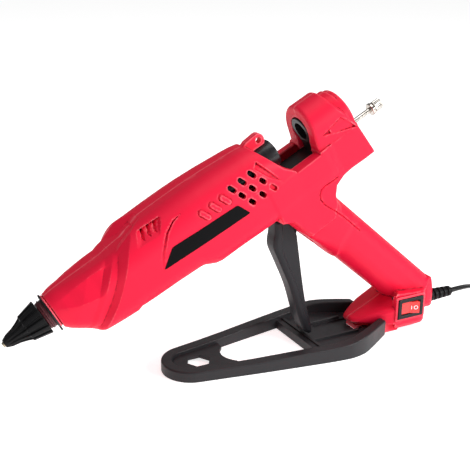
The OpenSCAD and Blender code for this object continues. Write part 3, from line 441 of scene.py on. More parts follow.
def openings(P,s,n,Y,f,left):
    x,y,z=P[:,0],P[:,1],P[:,2]
    ra=np.sqrt(n*n+Y*Y)
    def cut(f,c): return np.maximum(f,-c)
    f=rmax(f,-np.maximum(np.maximum(ra-10.7,30-s),s-50),0.5)
    nt=np.maximum(poly(s,n,[(230,-12),(234.5,-17.2),(236,-24),(254.8,-24),(254.8,30),(214,30),(222,-2)]),Y-14.4)
    bev=np.maximum(np.maximum(-(n+12.8+(Y-14.4)*0.15),231-s),s-254.8)
    bev=np.maximum(bev,Y-40)
    nt2=np.maximum(poly(s,n,[(234,-12.8),(254.8,-12.8),(254.8,30),(211,24)]),Y-40)
    nt=np.minimum(np.minimum(nt,nt2),np.where((s>232)&(s<256),bev,9.0))
    nt=np.minimum(nt,np.maximum(np.maximum(ra-ip(s,[(200,10.6),(216,10.7),(222,11.1)]),200-s),s-255))
    f=rmax(f,-nt,0.6)
    rec=np.maximum(np.maximum(ra-11.2,254-s),s-274)
    rec=np.minimum(rec,np.maximum(np.maximum(Y-9,np.maximum(n,-24-n)),np.maximum(254-s,s-274.2)))
    rec=np.minimum(rec,np.maximum(np.maximum(Y-9,np.maximum(n+14,-30-n)),np.maximum(254-s,s-283)))
    f=cut(f,rec)
    f=cut(f,np.maximum(np.maximum(ra-8.6,273-s),s-312))
    f=cut(f,np.maximum(np.maximum(ra-10.2,288.4-s),s-312))
    rs=np.sqrt((n+20)**2+Y*Y)
    f=cut(f,np.maximum(rs-2.6,270-s))
    f=cut(f,np.maximum(rs-4.3,297.5-s))
    f=rmax(f,-np.maximum(poly(s,n,SWEEP),Y-7.7),0.5)
    v=None
    for i,(cs,cn) in enumerate(VENTS):
        q=rbox(s,n,cs,cn,VU[0],VU[1],3.45,1.8,1.7)
        if i in BLIND: q=np.maximum(q,22.35-Y)
        v=q if v is None else np.minimum(v,q)
    f=rmax(f,-np.maximum(v,12-Y),0.35)
    # hanging eyelet over the sleeve
    er=np.sqrt((s-223.6)**2+(n-15.4)**2)-4.8
    arm=poly(s,n,[(203,4),(224,6),(228.4,13.5),(224.6,20.0),(222.4,20.1),(214.4,19.4),(206,15.8),(203,14.2)])
    E=rmax(np.minimum(er,arm),Y-3.0,0.7)
    E=np.maximum(E,11.1-ra)
    E=rmax(E,2.2-np.sqrt((s-223.6)**2+(n-15.4)**2),0.35)
    f=smin(f,E,0.8)
    # rear cable opening
    f=cut(f,np.maximum(np.sqrt((z-15.5)**2+Y*Y)-4.7,205-x))
    if left:
        f=cut(f,np.maximum(rbox(x,z,185.1,22.2,1,0,12.7,8.7,0.8),20-Y))
    else:
        for (bs,bn) in SITES:
            q=np.sqrt((s-bs)**2+(n-bn)**2)
            f=cut(f,np.maximum(q-3.3,13-Y))
        u,w=to_grip(x,z)
        for (bs,bn) in ((78,0),(122,12)):
            q=np.sqrt((u-bs)**2+(w-bn)**2)
            f=cut(f,np.maximum(q-3.3,13-Y))
    return f
def half(P,left=True):
    f,s,n,Y,u,v=body(P,not left)
    # hollow inside, with solid metal of the ring and the foot's tongue kept
    inner=f+2.4
    ra=np.sqrt(n*n+Y*Y)
    solid=np.minimum(np.maximum(ra-19.5,253-s),np.maximum(np.maximum(P[:,0]-172,Y-9),P[:,2]-7.5))
    inner=np.maximum(inner,-solid)
    posts=None
    for (bs,bn) in SITES:
        q=np.sqrt((s-bs)**2+(n-bn)**2)-4.2
        posts=q if posts is None else np.minimum(posts,q)
    for (bs,bn) in ((78,0),(122,12)):
        posts=np.minimum(posts,np.sqrt((u-bs)**2+(v-bn)**2)-4.2)
    inner=np.maximum(inner,-posts)
    f=np.maximum(f,-inner)
    f=openings(P,s,n,Y,f,left)
    return np.maximum(np.maximum(f,P[:,1]+0.05),-P[:,2])


# ---------------------------------------------------------------- surface nets
def mesh_sdf(fn,lo,hi,h,coarse=4):
    """Dual-contoured mesh of fn<0 in the box lo..hi on cells of h; fn takes (N,3)."""
    lo=np.array(lo,float); hi=np.array(hi,float)
    n=np.ceil((hi-lo)/(h*coarse)).astype(int)
    N=n*coarse+1
    cx=[lo[i]+h*coarse*(np.arange(n[i])+0.5) for i in range(3)]
    G=np.stack(np.meshgrid(*cx,indexing='ij'),-1).reshape(-1,3)
    fc=fn(G).reshape(n)
    act=np.abs(fc)<h*coarse*1.35+0.6
    F=np.repeat(np.repeat(np.repeat(np.where(fc<0,-1.,1.),coarse,0),coarse,1),coarse,2)*h*3
    F=np.pad(F,((0,1),(0,1),(0,1)),mode='edge').astype(np.float64)
    m=np.zeros(N,bool)
    ii=np.argwhere(act)
    offs=np.stack(np.meshgrid(*[np.arange(coarse+1)]*3,indexing='ij'),-1).reshape(-1,3)
    for o in offs:
        q=ii*coarse+o
        m[q[:,0],q[:,1],q[:,2]]=True
    idx=np.argwhere(m)
    for k in range(0,len(idx),400000):
        c=idx[k:k+400000]
        F[c[:,0],c[:,1],c[:,2]]=fn(lo+h*c)
    F[F==0]=1e-9
    inside=F<0
    cells=N-1
    cnt=np.zeros(cells.prod(),np.int32)
    P_all=[];cell_all=[];edges=[]
    for ax in range(3):
        a=[slice(None)]*3; b=[slice(None)]*3
        a[ax]=slice(0,-1); b[ax]=slice(1,None)
        ch=inside[tuple(a)]!=inside[tuple(b)]
        # keep edges with four cells round them
        o1,o2=[i for i in range(3) if i!=ax]
        e=np.argwhere(ch)
        ok=(e[:,o1]>0)&(e[:,o2]>0)&(e[:,o1]<N[o1]-1)&(e[:,o2]<N[o2]-1)
        e=e[ok]
        f0=F[e[:,0],e[:,1],e[:,2]]
        e2=e.copy(); e2[:,ax]+=1
        f1=F[e2[:,0],e2[:,1],e2[:,2]]
        t=f0/(f0-f1)
        p=lo+h*e; p[:,ax]+=h*t
        P_all.append(p); edges.append((ax,e,f0<0))
    P=np.concatenate(P_all)
    # the normal at each crossing, from the distance function
    axs=np.concatenate([np.full(len(p),i) for i,p in enumerate(P_all)])
    eps=h*0.12
    T=np.array([[1,1,1],[1,-1,-1],[-1,1,-1],[-1,-1,1]],float)
    g=np.zeros_like(P)
    for k in range(0,len(P),400000):
        q=P[k:k+400000]
        for tv in T: g[k:k+400000]+=tv*fn(q+tv*eps)[:,None]
    g/=np.maximum(np.linalg.norm(g,axis=1),1e-9)[:,None]
    # accumulate per cell
    key=[];src=[]
    start=0
    quads=[]
    for ax,e,neg in edges:
        o1,o2=[i for i in range(3) if i!=ax]
        ids=np.arange(start,start+len(e)); start+=len(e)
        cs=[]
        for (i,j) in ((0,0),(1,0),(1,1),(0,1)):
            c=e.copy(); c[:,o1]-=i; c[:,o2]-=j
            k=(c[:,0]*cells[1]+c[:,1])*cells[2]+c[:,2]
            cs.append(k); key.append(k); src.append(ids)
        q=np.stack(cs,1)
        flip=neg if ax!=1 else ~neg
        q[~flip]=q[~flip][:,::-1]
        quads.append(q)
    key=np.concatenate(key); src=np.concatenate(src)
    uniq,inv=np.unique(key,return_inverse=True)
    M=len(uniq)
    def acc(w): return np.bincount(inv,weights=w,minlength=M)
    pp=P[src]; gg=g[src]
    c=acc(np.ones(len(src)))
    mean=np.stack([acc(pp[:,i]) for i in range(3)],1)/c[:,None]
    lam=0.06
    A=np.zeros((M,3,3)); b=np.zeros((M,3))
    dif=pp-mean[inv]
    dot=(gg*dif).sum(1)
    for i in range(3):
        b[:,i]=acc(gg[:,i]*dot)
        for j in range(i,3):
            A[:,i,j]=A[:,j,i]=acc(gg[:,i]*gg[:,j])
    A[:,[0,1,2],[0,1,2]]+=lam
    dx=np.linalg.solve(A,b[:,:,None])[:,:,0]
    ln=np.linalg.norm(dx,axis=1); dx*=np.minimum(1,0.9*h/np.maximum(ln,1e-9))[:,None]
    V=mean+dx
    # keep every point inside its own cell
    ck=np.stack(np.unravel_index(uniq,tuple(cells)),1)
    lo_c=lo+h*ck; V=np.clip(V,lo_c-0.02*h,lo_c+1.02*h)
    Q=np.searchsorted(uniq,np.concatenate(quads))
    return V,Q


# ---------------------------------------------------------------- building from distance functions
def fill_sdf(name, fn, lo, hi, h, mat, body, replaces=(), frame_of="flat", ratio=1.0, sharp=33.0, flip=False):
    V, Q = mesh_sdf(fn, lo, hi, h)
    V = place(V, frame_of)
    if flip:
        V[:, 1] *= -1
        Q = Q[:, ::-1]
    return to_obj(name, V, Q, mat, body, replaces, sharp, ratio)


def place(V, frame_of):
    V = np.array(V, float)
    if frame_of == "gun":       # columns are s, y, n
        x, z = gun_xz(V[:, 0], V[:, 2])
        V = np.stack([x, V[:, 1], z], 1)
    return V


def fillet(pts, r, steps=4, closed=False):
    """Rounds the corners of a 2-D outline."""
    out = []
    n = len(pts)
    for i in range(n):
        p = np.array(pts[i], float)
        if not closed and (i == 0 or i == n - 1):
            out.append(tuple(p))
            continue
        a = np.array(pts[i - 1], float) - p
        b = np.array(pts[(i + 1) % n], float) - p
        la, lb = np.linalg.norm(a), np.linalg.norm(b)
        if la < 1e-6 or lb < 1e-6:
            continue
        t = min(r, 0.42 * la, 0.42 * lb)
        p0, p2 = p + a / la * t, p + b / lb * t
        for k in range(steps + 1):
            u = k / steps
            out.append(tuple((1 - u) ** 2 * p0 + 2 * u * (1 - u) * p + u * u * p2))
    return out


def lathe(name, prof, mat, body, replaces=(), seg=72, round_r=0.35, axis="gun", centre=(0.0, 0.0), closed=True, sharp=40.0):
    """Turned piece: prof is (distance along the axis, radius). axis 'gun' turns round n = centre[0];
    axis 'x' round flat y, z = centre."""
    pr = fillet(prof, round_r, 3, closed) if round_r else list(prof)
    pr = np.array(pr)
    k = len(pr)
    ang = np.linspace(0, 2 * math.pi, seg, endpoint=False)
    s = np.repeat(pr[:, 0][:, None], seg, 1)
    u = pr[:, 1][:, None] * np.cos(ang)[None]
    v = pr[:, 1][:, None] * np.sin(ang)[None]
    if axis == "gun":
        x, z = gun_xz(s, u + centre[0])
        V = np.stack([x, v, z], -1).reshape(-1, 3)
    else:
        V = np.stack([s, v + centre[0], u + centre[1]], -1).reshape(-1, 3)
    F = []
    rng = range(k) if closed else range(k - 1)
    for i in rng:
        j = (i + 1) % k
        a = i * seg + np.arange(seg)
        b = i * seg + (np.arange(seg) + 1) % seg
        c = j * seg + (np.arange(seg) + 1) % seg
        d = j * seg + np.arange(seg)
        F.append(np.stack([a, b, c, d], 1))
    F = np.concatenate(F)
    # outward facing: signed volume
    a, b, c, d = (V[F[:, i]] for i in range(4))
    vol = (np.einsum("ij,ij->i", a, np.cross(b, c)) + np.einsum("ij,ij->i", a, np.cross(c, d))).sum()
    if vol < 0:
        F = F[:, ::-1]
    ob = to_obj(name, V, F, mat, body, replaces, sharp)
    if not closed:      # ends on the axis are closed with a fan
        import bmesh
        bm = bmesh.new()
        bm.from_mesh(ob.data)
        bmesh.ops.remove_doubles(bm, verts=bm.verts, dist=1e-7)
        edges = [e for e in bm.edges if e.is_boundary]
        if edges:
            bmesh.ops.holes_fill(bm, edges=edges)
        bm.to_mesh(ob.data)
        bm.free()
    return ob


def spline(pts, m, closed=False):
    P = np.array(pts, float)
    n = len(P)
    out = []
    for i in range(n if closed else n - 1):
        a = P[(i - 1) % n] if closed or i > 0 else P[0]
        b = P[i]
        c = P[(i + 1) % n]
        d = P[(i + 2) % n] if closed or i + 2 < n else P[n - 1]
        for k in range(m):
            t = k / m
            out.append(0.5 * (2 * b + (c - a) * t + (2 * a - 5 * b + 4 * c - d) * t * t + (3 * b - a - 3 * c + d) * t ** 3))
    if not closed:
        out.append(P[-1])
    return np.array(out)


def prism_d(a2, w, half):
    return np.maximum(a2, np.abs(w) - half)


# ---------------------------------------------------------------- cord
ROUTE = [(226, 0, 15.5), (238, 0, 15.5), (249, 0, 15.5), (257, 1, 15.2), (266, 4, 13.6), (276, 8.5, 10.9), (288, 15, 6.6),
         (300, 22, 3.0), (314, 27.5, 1.75), (328, 30.2, 1.75)]
COIL_X, COIL_Y = 338.0, -6.0
RAD = [36.4, 31.0, 25.6]
LAY = [1.75, 5.05, 8.35]
SLOTS = [(RAD[0], LAY[0]), (RAD[1], LAY[0]), (RAD[2], LAY[0]), (RAD[2], LAY[1]), (RAD[1], LAY[1]), (RAD[0], LAY[1]),
         (RAD[0], LAY[2]), (RAD[1], LAY[2]), (RAD[2], LAY[2])]


def coil_point(phi):
    """phi in turns from the joining point at the +y side, running clockwise."""
    k = min(int(phi), len(SLOTS) - 1)
    r, z = SLOTS[k]
    f = phi - k
    w = 0.16
    if f > 1 - w and k < len(SLOTS) - 1:
        t = (f - (1 - w)) / w
        t = t * t * (3 - 2 * t)
        r2, z2 = SLOTS[k + 1]
        r, z = r + (r2 - r) * t, z + (z2 - z) * t
    a = math.pi / 2 - phi * 2 * math.pi
    wob = 0.25 * math.sin(phi * 7.3) + 0.18 * math.sin(phi * 17.1 + 1.0)
    return (COIL_X + (r + wob) * math.cos(a), COIL_Y + (r + wob) * math.sin(a), z)


TURNS = 8.66
coil_pts = [coil_point(0.02 + (TURNS - 0.02) * i / 460) for i in range(461)]
start = [tuple(p) for p in spline(ROUTE + [coil_pts[0], coil_pts[4]], 9)]
cut = [p for p in start if p[0] < coil_pts[0][0] - 1.2]
LAST = [coil_pts[-1], (315.5, 2.0, 9.9), (322.0, 14.0, 11.9), (334.0, 23.0, 13.9), (347.0, 28.2, 16.2), (358.5, 28.6, 17.8), (366.2, 23.8, 18.1),
        (368.8, 17.5, 18.1), (369.0, 13.0, 18.1), (369.0, 9.0, 18.1)]
tail = [tuple(p) for p in spline([coil_pts[-6], coil_pts[-3]] + LAST, 6)][12:]
line = np.array(cut + coil_pts[:-1] + tail)


def resample(P, step):
    d = np.r_[0, np.cumsum(np.linalg.norm(np.diff(P, axis=0), axis=1))]
    t = np.arange(0, d[-1], step)
    t = np.r_[t, d[-1]]
    return np.stack([np.interp(t, d, P[:, i]) for i in range(3)], 1)


def smooth(P, n):
    P = P.copy()
    for _ in range(n):
        P[1:-1] = 0.25 * P[:-2] + 0.5 * P[1:-1] + 0.25 * P[2:]
    return P


line = smooth(resample(line, 1.6), 6)
line = resample(line, 2.0)


def sweep_flat(P, half_c, r, sides=28):
    """Flat twin flex: two joined round strands, side by side, level across the run."""
    T = np.gradient(P, axis=0)
    T /= np.linalg.norm(T, axis=1)[:, None]
    up = np.array([0, 0, 1.0])
    U = np.cross(up, T)
    U /= np.linalg.norm(U, axis=1)[:, None]
    W = np.cross(T, U)
    ang = np.linspace(0, 2 * math.pi, sides, endpoint=False)
    R = half_c * np.abs(np.cos(ang)) + np.sqrt(np.maximum(r * r - (half_c * np.sin(ang)) ** 2, 0.01))
    ring = U[:, None, :] * (R * np.cos(ang))[None, :, None] + W[:, None, :] * (R * np.sin(ang))[None, :, None]
    V = (P[:, None, :] + ring).reshape(-1, 3)
    n = len(P)
    F = []
    for i in range(n - 1):
        a = i * sides + np.arange(sides)
        b = i * sides + (np.arange(sides) + 1) % sides
        F.append(np.stack([a, b, b + sides, a + sides], 1))
    return V, np.concatenate(F)


V, F = sweep_flat(line, 1.12, 1.58)
cord = to_obj("power_cord_flex", V, F, "cord_black", "housing", ("power_cord", "cord_coil"), sharp=60)
import bmesh
_bm = bmesh.new()
_bm.from_mesh(cord.data)
bmesh.ops.holes_fill(_bm, edges=[e for e in _bm.edges if e.is_boundary], sides=64)
_bm.to_mesh(cord.data)
_bm.free()

# strain relief, plug, blades and tie
relief = [(215.4, 2.9), (215.4, 5.6), (217.6, 5.6), (217.6, 4.5), (224.0, 4.5)]
for k in range(5):
    x0 = 224.2 + 5 * k
    relief += [(x0, 5.55 - 0.25 * k), (x0 + 3.1, 5.45 - 0.25 * k), (x0 + 3.2, 3.8 - 0.1 * k), (x0 + 4.9, 3.8 - 0.1 * k)]
relief = relief[:-1] + [(248.6, 3.4), (249.0, 2.9)]
sr = lathe("strain_relief_boot", relief, "black_rubber", "housing", ("strain_relief",), seg=64, round_r=0.75, axis="x", centre=(0.0, 15.5))

PX, PY, PZ = COIL_X + 31.0, COIL_Y, 10.3


def plug_fn(P):
    x = P[:, 0] - PX
    y = -(P[:, 1] - PY)
    z = P[:, 2] - PZ
    a = poly(x, y, [(-11.5, 17), (-12.3, 6), (-10.5, -4), (-7, -13), (-4, -19), (4, -19), (7, -13), (10.5, -4), (12.3, 6), (11.5, 17)])
    zz = np.abs(z - 7.5)
    hz = ip(y, [(-19, 3.6), (-12, 4.6), (-4, 6.6), (4, 7.4), (17, 7.4)])
    f = rmax(a, zz - hz, 2.2)
    f = rmax(f, y - 17, 0.8)
    # finger grooves across the shank
    for k in range(4):
        yy = y - (-3.0 - 3.6 * k)
        f = np.maximum(f, -np.maximum(np.abs(yy) - 0.8, -(np.maximum(np.abs(x) - ip(y, [(-19, 2.6), (-3, 9.2)]), zz - hz + 0.8))))
    # parting line groove
    f = np.maximum(f, -np.maximum(np.maximum(np.abs(z - 7.5) - 0.18, -(f + 0.35)), -60 - y))
    return f


plug = fill_sdf("mains_plug_body", plug_fn, (PX - 14, PY - 19, PZ - 1), (PX + 14, PY + 21, PZ + 16.5), 0.5, "plug_black", "housing", ("mains_plug",), ratio=0.6)


def blade_fn(P):
    x = np.abs(P[:, 0] - PX) - 6.35
    y = -(P[:, 1] - PY)
    z = P[:, 2] - PZ - 7.5
    e = np.sqrt(np.maximum(np.abs(y - 24) - 6, 0) ** 2 + np.maximum(np.abs(z) - 0.15, 0) ** 2) - 3.0
    e = np.maximum(np.maximum(np.abs(z) - 3.15, np.abs(y - 23.5) - 9.4), e - 0.9)
    f = rmax(np.abs(x) - 0.75, e, 0.25)
    return np.maximum(f, 1.6 - np.sqrt((y - 29) ** 2 + z * z))


blades = fill_sdf("plug_pins", blade_fn, (PX - 8, PY - 34, PZ + 3), (PX + 8, PY - 12, PZ + 12), 0.32, "terminal_brass", "housing", ("plug_blades",), ratio=0.6)


def tie_fn(P):
    x = P[:, 0] - COIL_X
    y = P[:, 1] - (COIL_Y - 31.0)
    z = P[:, 2] - 5.35
    o = rbox(y, z, 0, 0, 1, 0, 9.6, 5.85, 1.9)
    f = rmax(np.abs(o + 0.45) - 0.45, np.abs(x) - 2.9, 0.25)
    lap = rbox(y, z, 3.5, 6.05, 1, 0, 4.6, 0.5, 0.3)
    return np.minimum(f, rmax(lap, np.abs(x) - 2.9, 0.25))


tie = fill_sdf("cord_tie_strap", tie_fn, (COIL_X - 4, COIL_Y - 42, -1.2), (COIL_X + 4, COIL_Y - 20, 13), 0.35, "tie_grey", "housing", ("cord_tie",), ratio=0.5)

# ---------------------------------------------------------------- housing
CELL = 0.65
left = fill_sdf("housing_left", lambda P: half(P, True), (-118, -29, -1), (228, 2, 206), CELL, "red_housing", "housing", ("left_shell",), ratio=0.4)
right = fill_sdf("housing_right", lambda P: half(P, False), (-118, -29, -1), (228, 2, 206), CELL, "red_housing", "housing", ("right_shell",), ratio=0.4, flip=True)


def label_fn(P):
    # a thin plate that follows the flank
    f, s, n, Y, u, v = body(P)
    a = poly(s, n, fillet(LABEL, 1.6, 4, True))
    return np.maximum(np.maximum(rmax(f - 0.45, a, 0.2), -(f + 1.4)), 12 - Y)


def two_sided(name, fn, lo, hi, h, mat, body_name, replaces, ratio=1.0):
    V, Q = mesh_sdf(fn, lo, hi, h * (1))
    W = V.copy()
    W[:, 1] *= -1
    return to_obj(name, np.concatenate([V, W]), np.concatenate([Q, Q[:, ::-1] + len(V)]), mat, body_name, replaces, 33.0, ratio)


labels = two_sided("side_label_plates", label_fn, (-40, -29, 86), (42, -20, 140), 0.5, "label_black", "housing", ("side_labels",), ratio=0.4)


# ---------------------------------------------------------------- nose
def shroud_fn(P):
    s, y, n = P[:, 0], P[:, 1], P[:, 2]
    ra = np.sqrt(y * y + n * n) + 1e-9
    core = ra - ip(s, [(0, 2.7), (2.5, 3.9), (9.5, 5.0), (17, 7.4), (18.2, 8.2), (30.6, 11.5)])
    f = core
    th = np.arctan2(y, n)
    step = math.radians(30)
    k = (th - math.radians(15)) / step
    loc = (k - np.round(k)) * step
    w = np.abs(np.sin(loc)) * ra
    rr = ip(s, [(2.2, 3.4), (4, 4.7), (9.5, 5.9), (14, 7.6), (16.9, 9.0), (17.5, 10.0), (30.8, 13.1)])
    half_w = ip(s, [(2, 0.55), (17, 0.95), (17.6, 1.5), (30, 1.95)])
    rib = rmax(w - half_w, ra - rr, 0.45)
    f = smin(f, np.maximum(rib, 2.0 - s), 0.7)
    f = rmax(f, s - 30.8, 0.8)
    f = rmax(f, 0.3 - s, 0.3)
    bore = ra - ip(s, [(-2, 2.2), (3, 2.2), (20, 5.1), (23.8, 5.1), (23.81, 7.5), (32, 7.5)])
    return np.maximum(f, -bore)


fill_sdf("nozzle_shroud_ribbed", shroud_fn, (-1, -14.5, -14.5), (32.5, 14.5, 14.5), 0.42, "black_rubber", "housing", ("nozzle_shroud",), "gun", ratio=0.6, sharp=38)
lathe("nozzle_tip", [(-1.0, 1.0), (-1.0, 1.65), (0.5, 2.1), (3, 2.1), (20, 5.0), (24, 5.0), (24, 6.3), (30, 6.3), (30, 5.0), (49, 5.0), (49, 3.2), (14, 3.2), (4, 1.0)],
      "brass", "housing", ("nozzle",), seg=48, round_r=0.3)
lathe("nozzle_seal_ring", [(30.95, 5.3), (30.95, 9.7), (31.4, 10.1), (32.7, 10.2), (32.9, 10.9), (33.7, 10.9), (33.9, 10.3), (35.3, 10.6), (35.5, 10.3), (35.5, 5.3)], "seal_rubber", "housing", ("nozzle_seal",), seg=64, round_r=0.5)


def plate_fn(P):
    s, y, n = P[:, 0], P[:, 1], P[:, 2]
    ra = np.sqrt(y * y + n * n)
    f = rmax(ra - 12.2, np.abs(s - 36.7) - 1.1, 0.35)
    f = np.minimum(f, rmax(ra - 10.4, np.abs(s - 38.4) - 1.6, 0.35))
    ear = rbox(y, n, 0, -1.0, 1, 0, 2.2, 15.6, 0.9)
    f = np.minimum(f, rmax(ear, np.abs(s - 36.4) - 0.65, 0.25))
    return np.maximum(f, 6.4 - ra)


fill_sdf("nozzle_front_plate", plate_fn, (34, -14, -19), (42, 14, 17), 0.4, "black_plastic", "housing", ("front_plate",), "gun", ratio=0.5)

# ---------------------------------------------------------------- feed
lathe("stick_inlet_sleeve", [(141, 6.2), (141, 7.7), (132, 7.7), (132, 10), (214, 10), (222, 10.5), (230.0, 10.8), (230.6, 10.0), (230.6, 7.8), (229.4, 7.0), (227, 6.2)],
      "sleeve_plastic", "housing", ("inlet_sleeve",), seg=96, round_r=0.7)
lathe("rear_guide_ring", [(274.4, 6.4), (274.4, 8.45), (289.0, 8.45), (289.0, 10.0), (291.4, 10.0), (292, 8.2), (292, 7.4), (290, 6.4)],
      "black_plastic", "housing", ("rear_guide_bush",), seg=96, round_r=0.4)


def carriage_fn(P):
    s, y, n = P[:, 0], P[:, 1], P[:, 2]
    ra = np.sqrt(y * y + n * n)
    Y = np.abs(y)
    f = rmax(ra - 10.45, np.abs(s - 260.7) - 3.3, 0.5)
    blk = np.maximum(rmax(np.abs(s - 260.7) - 3.3, Y - 6, 0.5), np.abs(n + 15) - 7)
    plate = rmax(np.maximum(np.abs(s - 241) - 23, np.abs(n + 20) - 2), Y - 11, 0.5)
    f = smin(smin(f, blk, 0.8), plate, 0.8)
    cheek = rmax(np.maximum(np.abs(s - 223) - 5.5, np.abs(n + 24) - 4), np.abs(Y - 6.8) - 1.6, 0.35)
    ear = rmax(np.maximum(np.abs(s - 266.5) - 3.5, np.abs(n + 14.8) - 4.2), np.abs(Y - 5.1) - 1.1, 0.3)
    f = np.minimum(np.minimum(f, cheek), ear)
    f = np.maximum(f, 6.7 - ra)
    f = np.maximum(f, -np.maximum(np.maximum(np.abs(s - 223) - 1.9, n + 19.8), Y - 10))
    f = np.maximum(f, -np.maximum(np.maximum(np.abs(s - 222.5) - 8, np.abs(n + 20) - 3), Y - 5.2))
    f = np.maximum(f, 1.2 - np.sqrt((s - 267.8) ** 2 + (n + 14.4) ** 2))
    return f


fill_sdf("feed_carriage_slide", carriage_fn, (215, -12.5, -30), (272, 12.5, 12), 0.6, "black_plastic", "carriage", ("feed_carriage",), "gun", ratio=0.5)

SCREW_N = -20.0
turns_of_thread = []
for i in range(0, 33):
    x = 273.4 + i * 0.7
    turns_of_thread += [(x, 1.72), (x + 0.35, 1.98)]
lathe("adjuster_screw_shank", [(273.0, 0.4), (273.0, 1.6)] + turns_of_thread + [(297.0, 1.98), (316.6, 1.98), (316.6, 0.4)], "chrome", "screw", ("adjuster_screw",), seg=40, round_r=0.0,
      centre=(SCREW_N, 0))


def knob_fn(P):
    s, y, n = P[:, 0], P[:, 1], P[:, 2] - SCREW_N
    ra = np.sqrt(y * y + n * n) + 1e-9
    th = np.arctan2(y, n)
    fl = rmax(ra - 4.95, np.abs(s - 317.2) - 1.15, 0.4)
    neck_ = np.maximum(ra - 3.3, np.abs(s - 319) - 1.2)
    scal = 0.34 * np.abs(np.sin(6 * th))
    head = rmax(ra - 4.2 + scal * np.clip((s - 319.6) * 1.2, 0, 1), np.abs(s - 322.9) - 3.55, 0.55)
    f = np.minimum(np.minimum(fl, neck_), head)
    hexa = np.maximum(np.maximum(np.abs(y), np.abs(y * 0.5 + n * 0.866)), np.abs(y * 0.5 - n * 0.866)) - 1.7
    f = np.maximum(f, -np.maximum(hexa, 323.6 - s))
    return np.maximum(f, -np.maximum(ra - 1.95, s - 316.8))


fill_sdf("adjuster_knurled_knob", knob_fn, (315, -6, -26), (328, 6, -14), 0.24, "chrome", "screw", ("adjuster_knob",), "gun", ratio=0.6, sharp=36)

# ---------------------------------------------------------------- trigger
T_FRONT = spline([(206, -47), (202, -55), (198, -60.5), (195.8, -66), (195.0, -78), (193.2, -102), (188.9, -125), (187.0, -138), (186.8, -145)], 6)
T_BACK = spline([(189.6, -149.2), (193.4, -147.0), (198.5, -124), (205, -103), (211.8, -83), (217, -68)], 6)
T_OUT = [tuple(p) for p in T_BACK] + [(218, -60), (214, -48)] + [tuple(p) for p in T_FRONT]
PV = (218.0, -45.0)


def dist_line(s, n, pts):
    q = None
    for i in range(len(pts) - 1):
        a = np.array(pts[i][:2], float)
        e = np.array(pts[i + 1][:2], float) - a
        t = np.clip(((s - a[0]) * e[0] + (n - a[1]) * e[1]) / (e * e).sum(), 0, 1)
        d = (s - a[0] - t * e[0]) ** 2 + (n - a[1] - t * e[1]) ** 2
        q = d if q is None else np.minimum(q, d)
    return np.sqrt(q)


T_FRONT_C = [tuple(p) for p in T_FRONT[::2]]


def trigger_fn(P):
    s, y, n = P[:, 0], P[:, 1], P[:, 2]
    Y = np.abs(y)
    o = poly(s, n, T_OUT)
    df = dist_line(s, n, T_FRONT_C)
    bead_w = ip(n, [(-149, 7.5), (-130, 6.0), (-100, 5.2), (-75, 5.4), (-62, 6.6), (-47, 5.0)])
    bead = rmax(rmax(o, Y - 6.95, 3.2), df - bead_w, 0.9)
    blade = rmax(o, Y - 5.9, 1.1)
    f = smin(bead, blade, 0.5)
    root = rmax(poly(s, n, [(206, -50), (217, -68), (220, -63), (224.5, -48), (224, -40), (212, -40)]), Y - 4.6, 0.5)
    hub = rmax(np.sqrt((s - PV[0]) ** 2 + (n - PV[1]) ** 2) - 6.8, Y - 6.95, 0.5)
    arm = rmax(poly(s, n, [(DX - 2.9, DN + 1), (PV[0] - 5.6, PV[1]), (PV[0] + 6.4, PV[1]), (DX + 2.9, DN + 1)]), Y - 4.4, 0.4)
    eye = rmax(np.sqrt((s - DX) ** 2 + (n - DN) ** 2) - 3.0, Y - 4.4, 0.4)
    f = np.minimum(np.minimum(np.minimum(f, root), hub), np.minimum(arm, eye))
    r = np.sqrt((s - PV[0]) ** 2 + (n - PV[1]) ** 2)
    f = np.maximum(f, 3.05 - r if PIN_R > 2.9 else PIN_R + 0.06 - r)
    f = np.maximum(f, -np.maximum(r - 5.2, y + 4.9))
    return np.maximum(f, 1.5 - np.sqrt((s - DX) ** 2 + (n - DN) ** 2))


_lo, _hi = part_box("drive_pin")
_cx, _cz = (_lo[0] + _hi[0]) * 500 + SHIFT, (_lo[2] + _hi[2]) * 500
DX, DN = (float(q) for q in to_gun(_cx, _cz))
_lo, _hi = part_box("trigger_pin")
PIN_R = (_hi[0] - _lo[0]) * 500
fill_sdf("trigger_lever", trigger_fn, (184, -8.5, -152), (228, 8.5, -15), 0.6, "trigger_plastic", "trigger", ("trigger",), "gun", ratio=0.5, sharp=28)

# ---------------------------------------------------------------- stand
_a = [(22.7 * math.cos(math.radians(t)), 22.7 * math.sin(math.radians(t))) for t in range(180, 97, -6)]
_o = spline([(-3.94, 22.36), (20, 26.8), (45, 31.5), (80, 37.4), (100, 40.6), (112, 42.0), (120, 42.2), (130, 40.2), (140, 36), (150, 30.8), (161, 24.9)], 5)
_i = spline([(161, 17.2), (150, 22.6), (140, 27.6), (130, 31.7), (120, 33.7), (110, 33.5), (96, 31.1), (60, 24.7), (24, 18.3), (0, 14.1)], 4)
_b = [(14.3 * math.cos(math.radians(t)), 14.3 * math.sin(math.radians(t))) for t in range(100, 181, 8)]
ARM = _a + [tuple(p) for p in _o] + [tuple(p) for p in _i] + _b
ARM = ARM + [(-14.3, -3.0), (-22.7, -3.0)]
DECK = [(92, -3), (92, 34.0), (104, 35.0), (116, 35.0), (128, 33.5), (146, 25.5), (161, 18), (161, -3)]


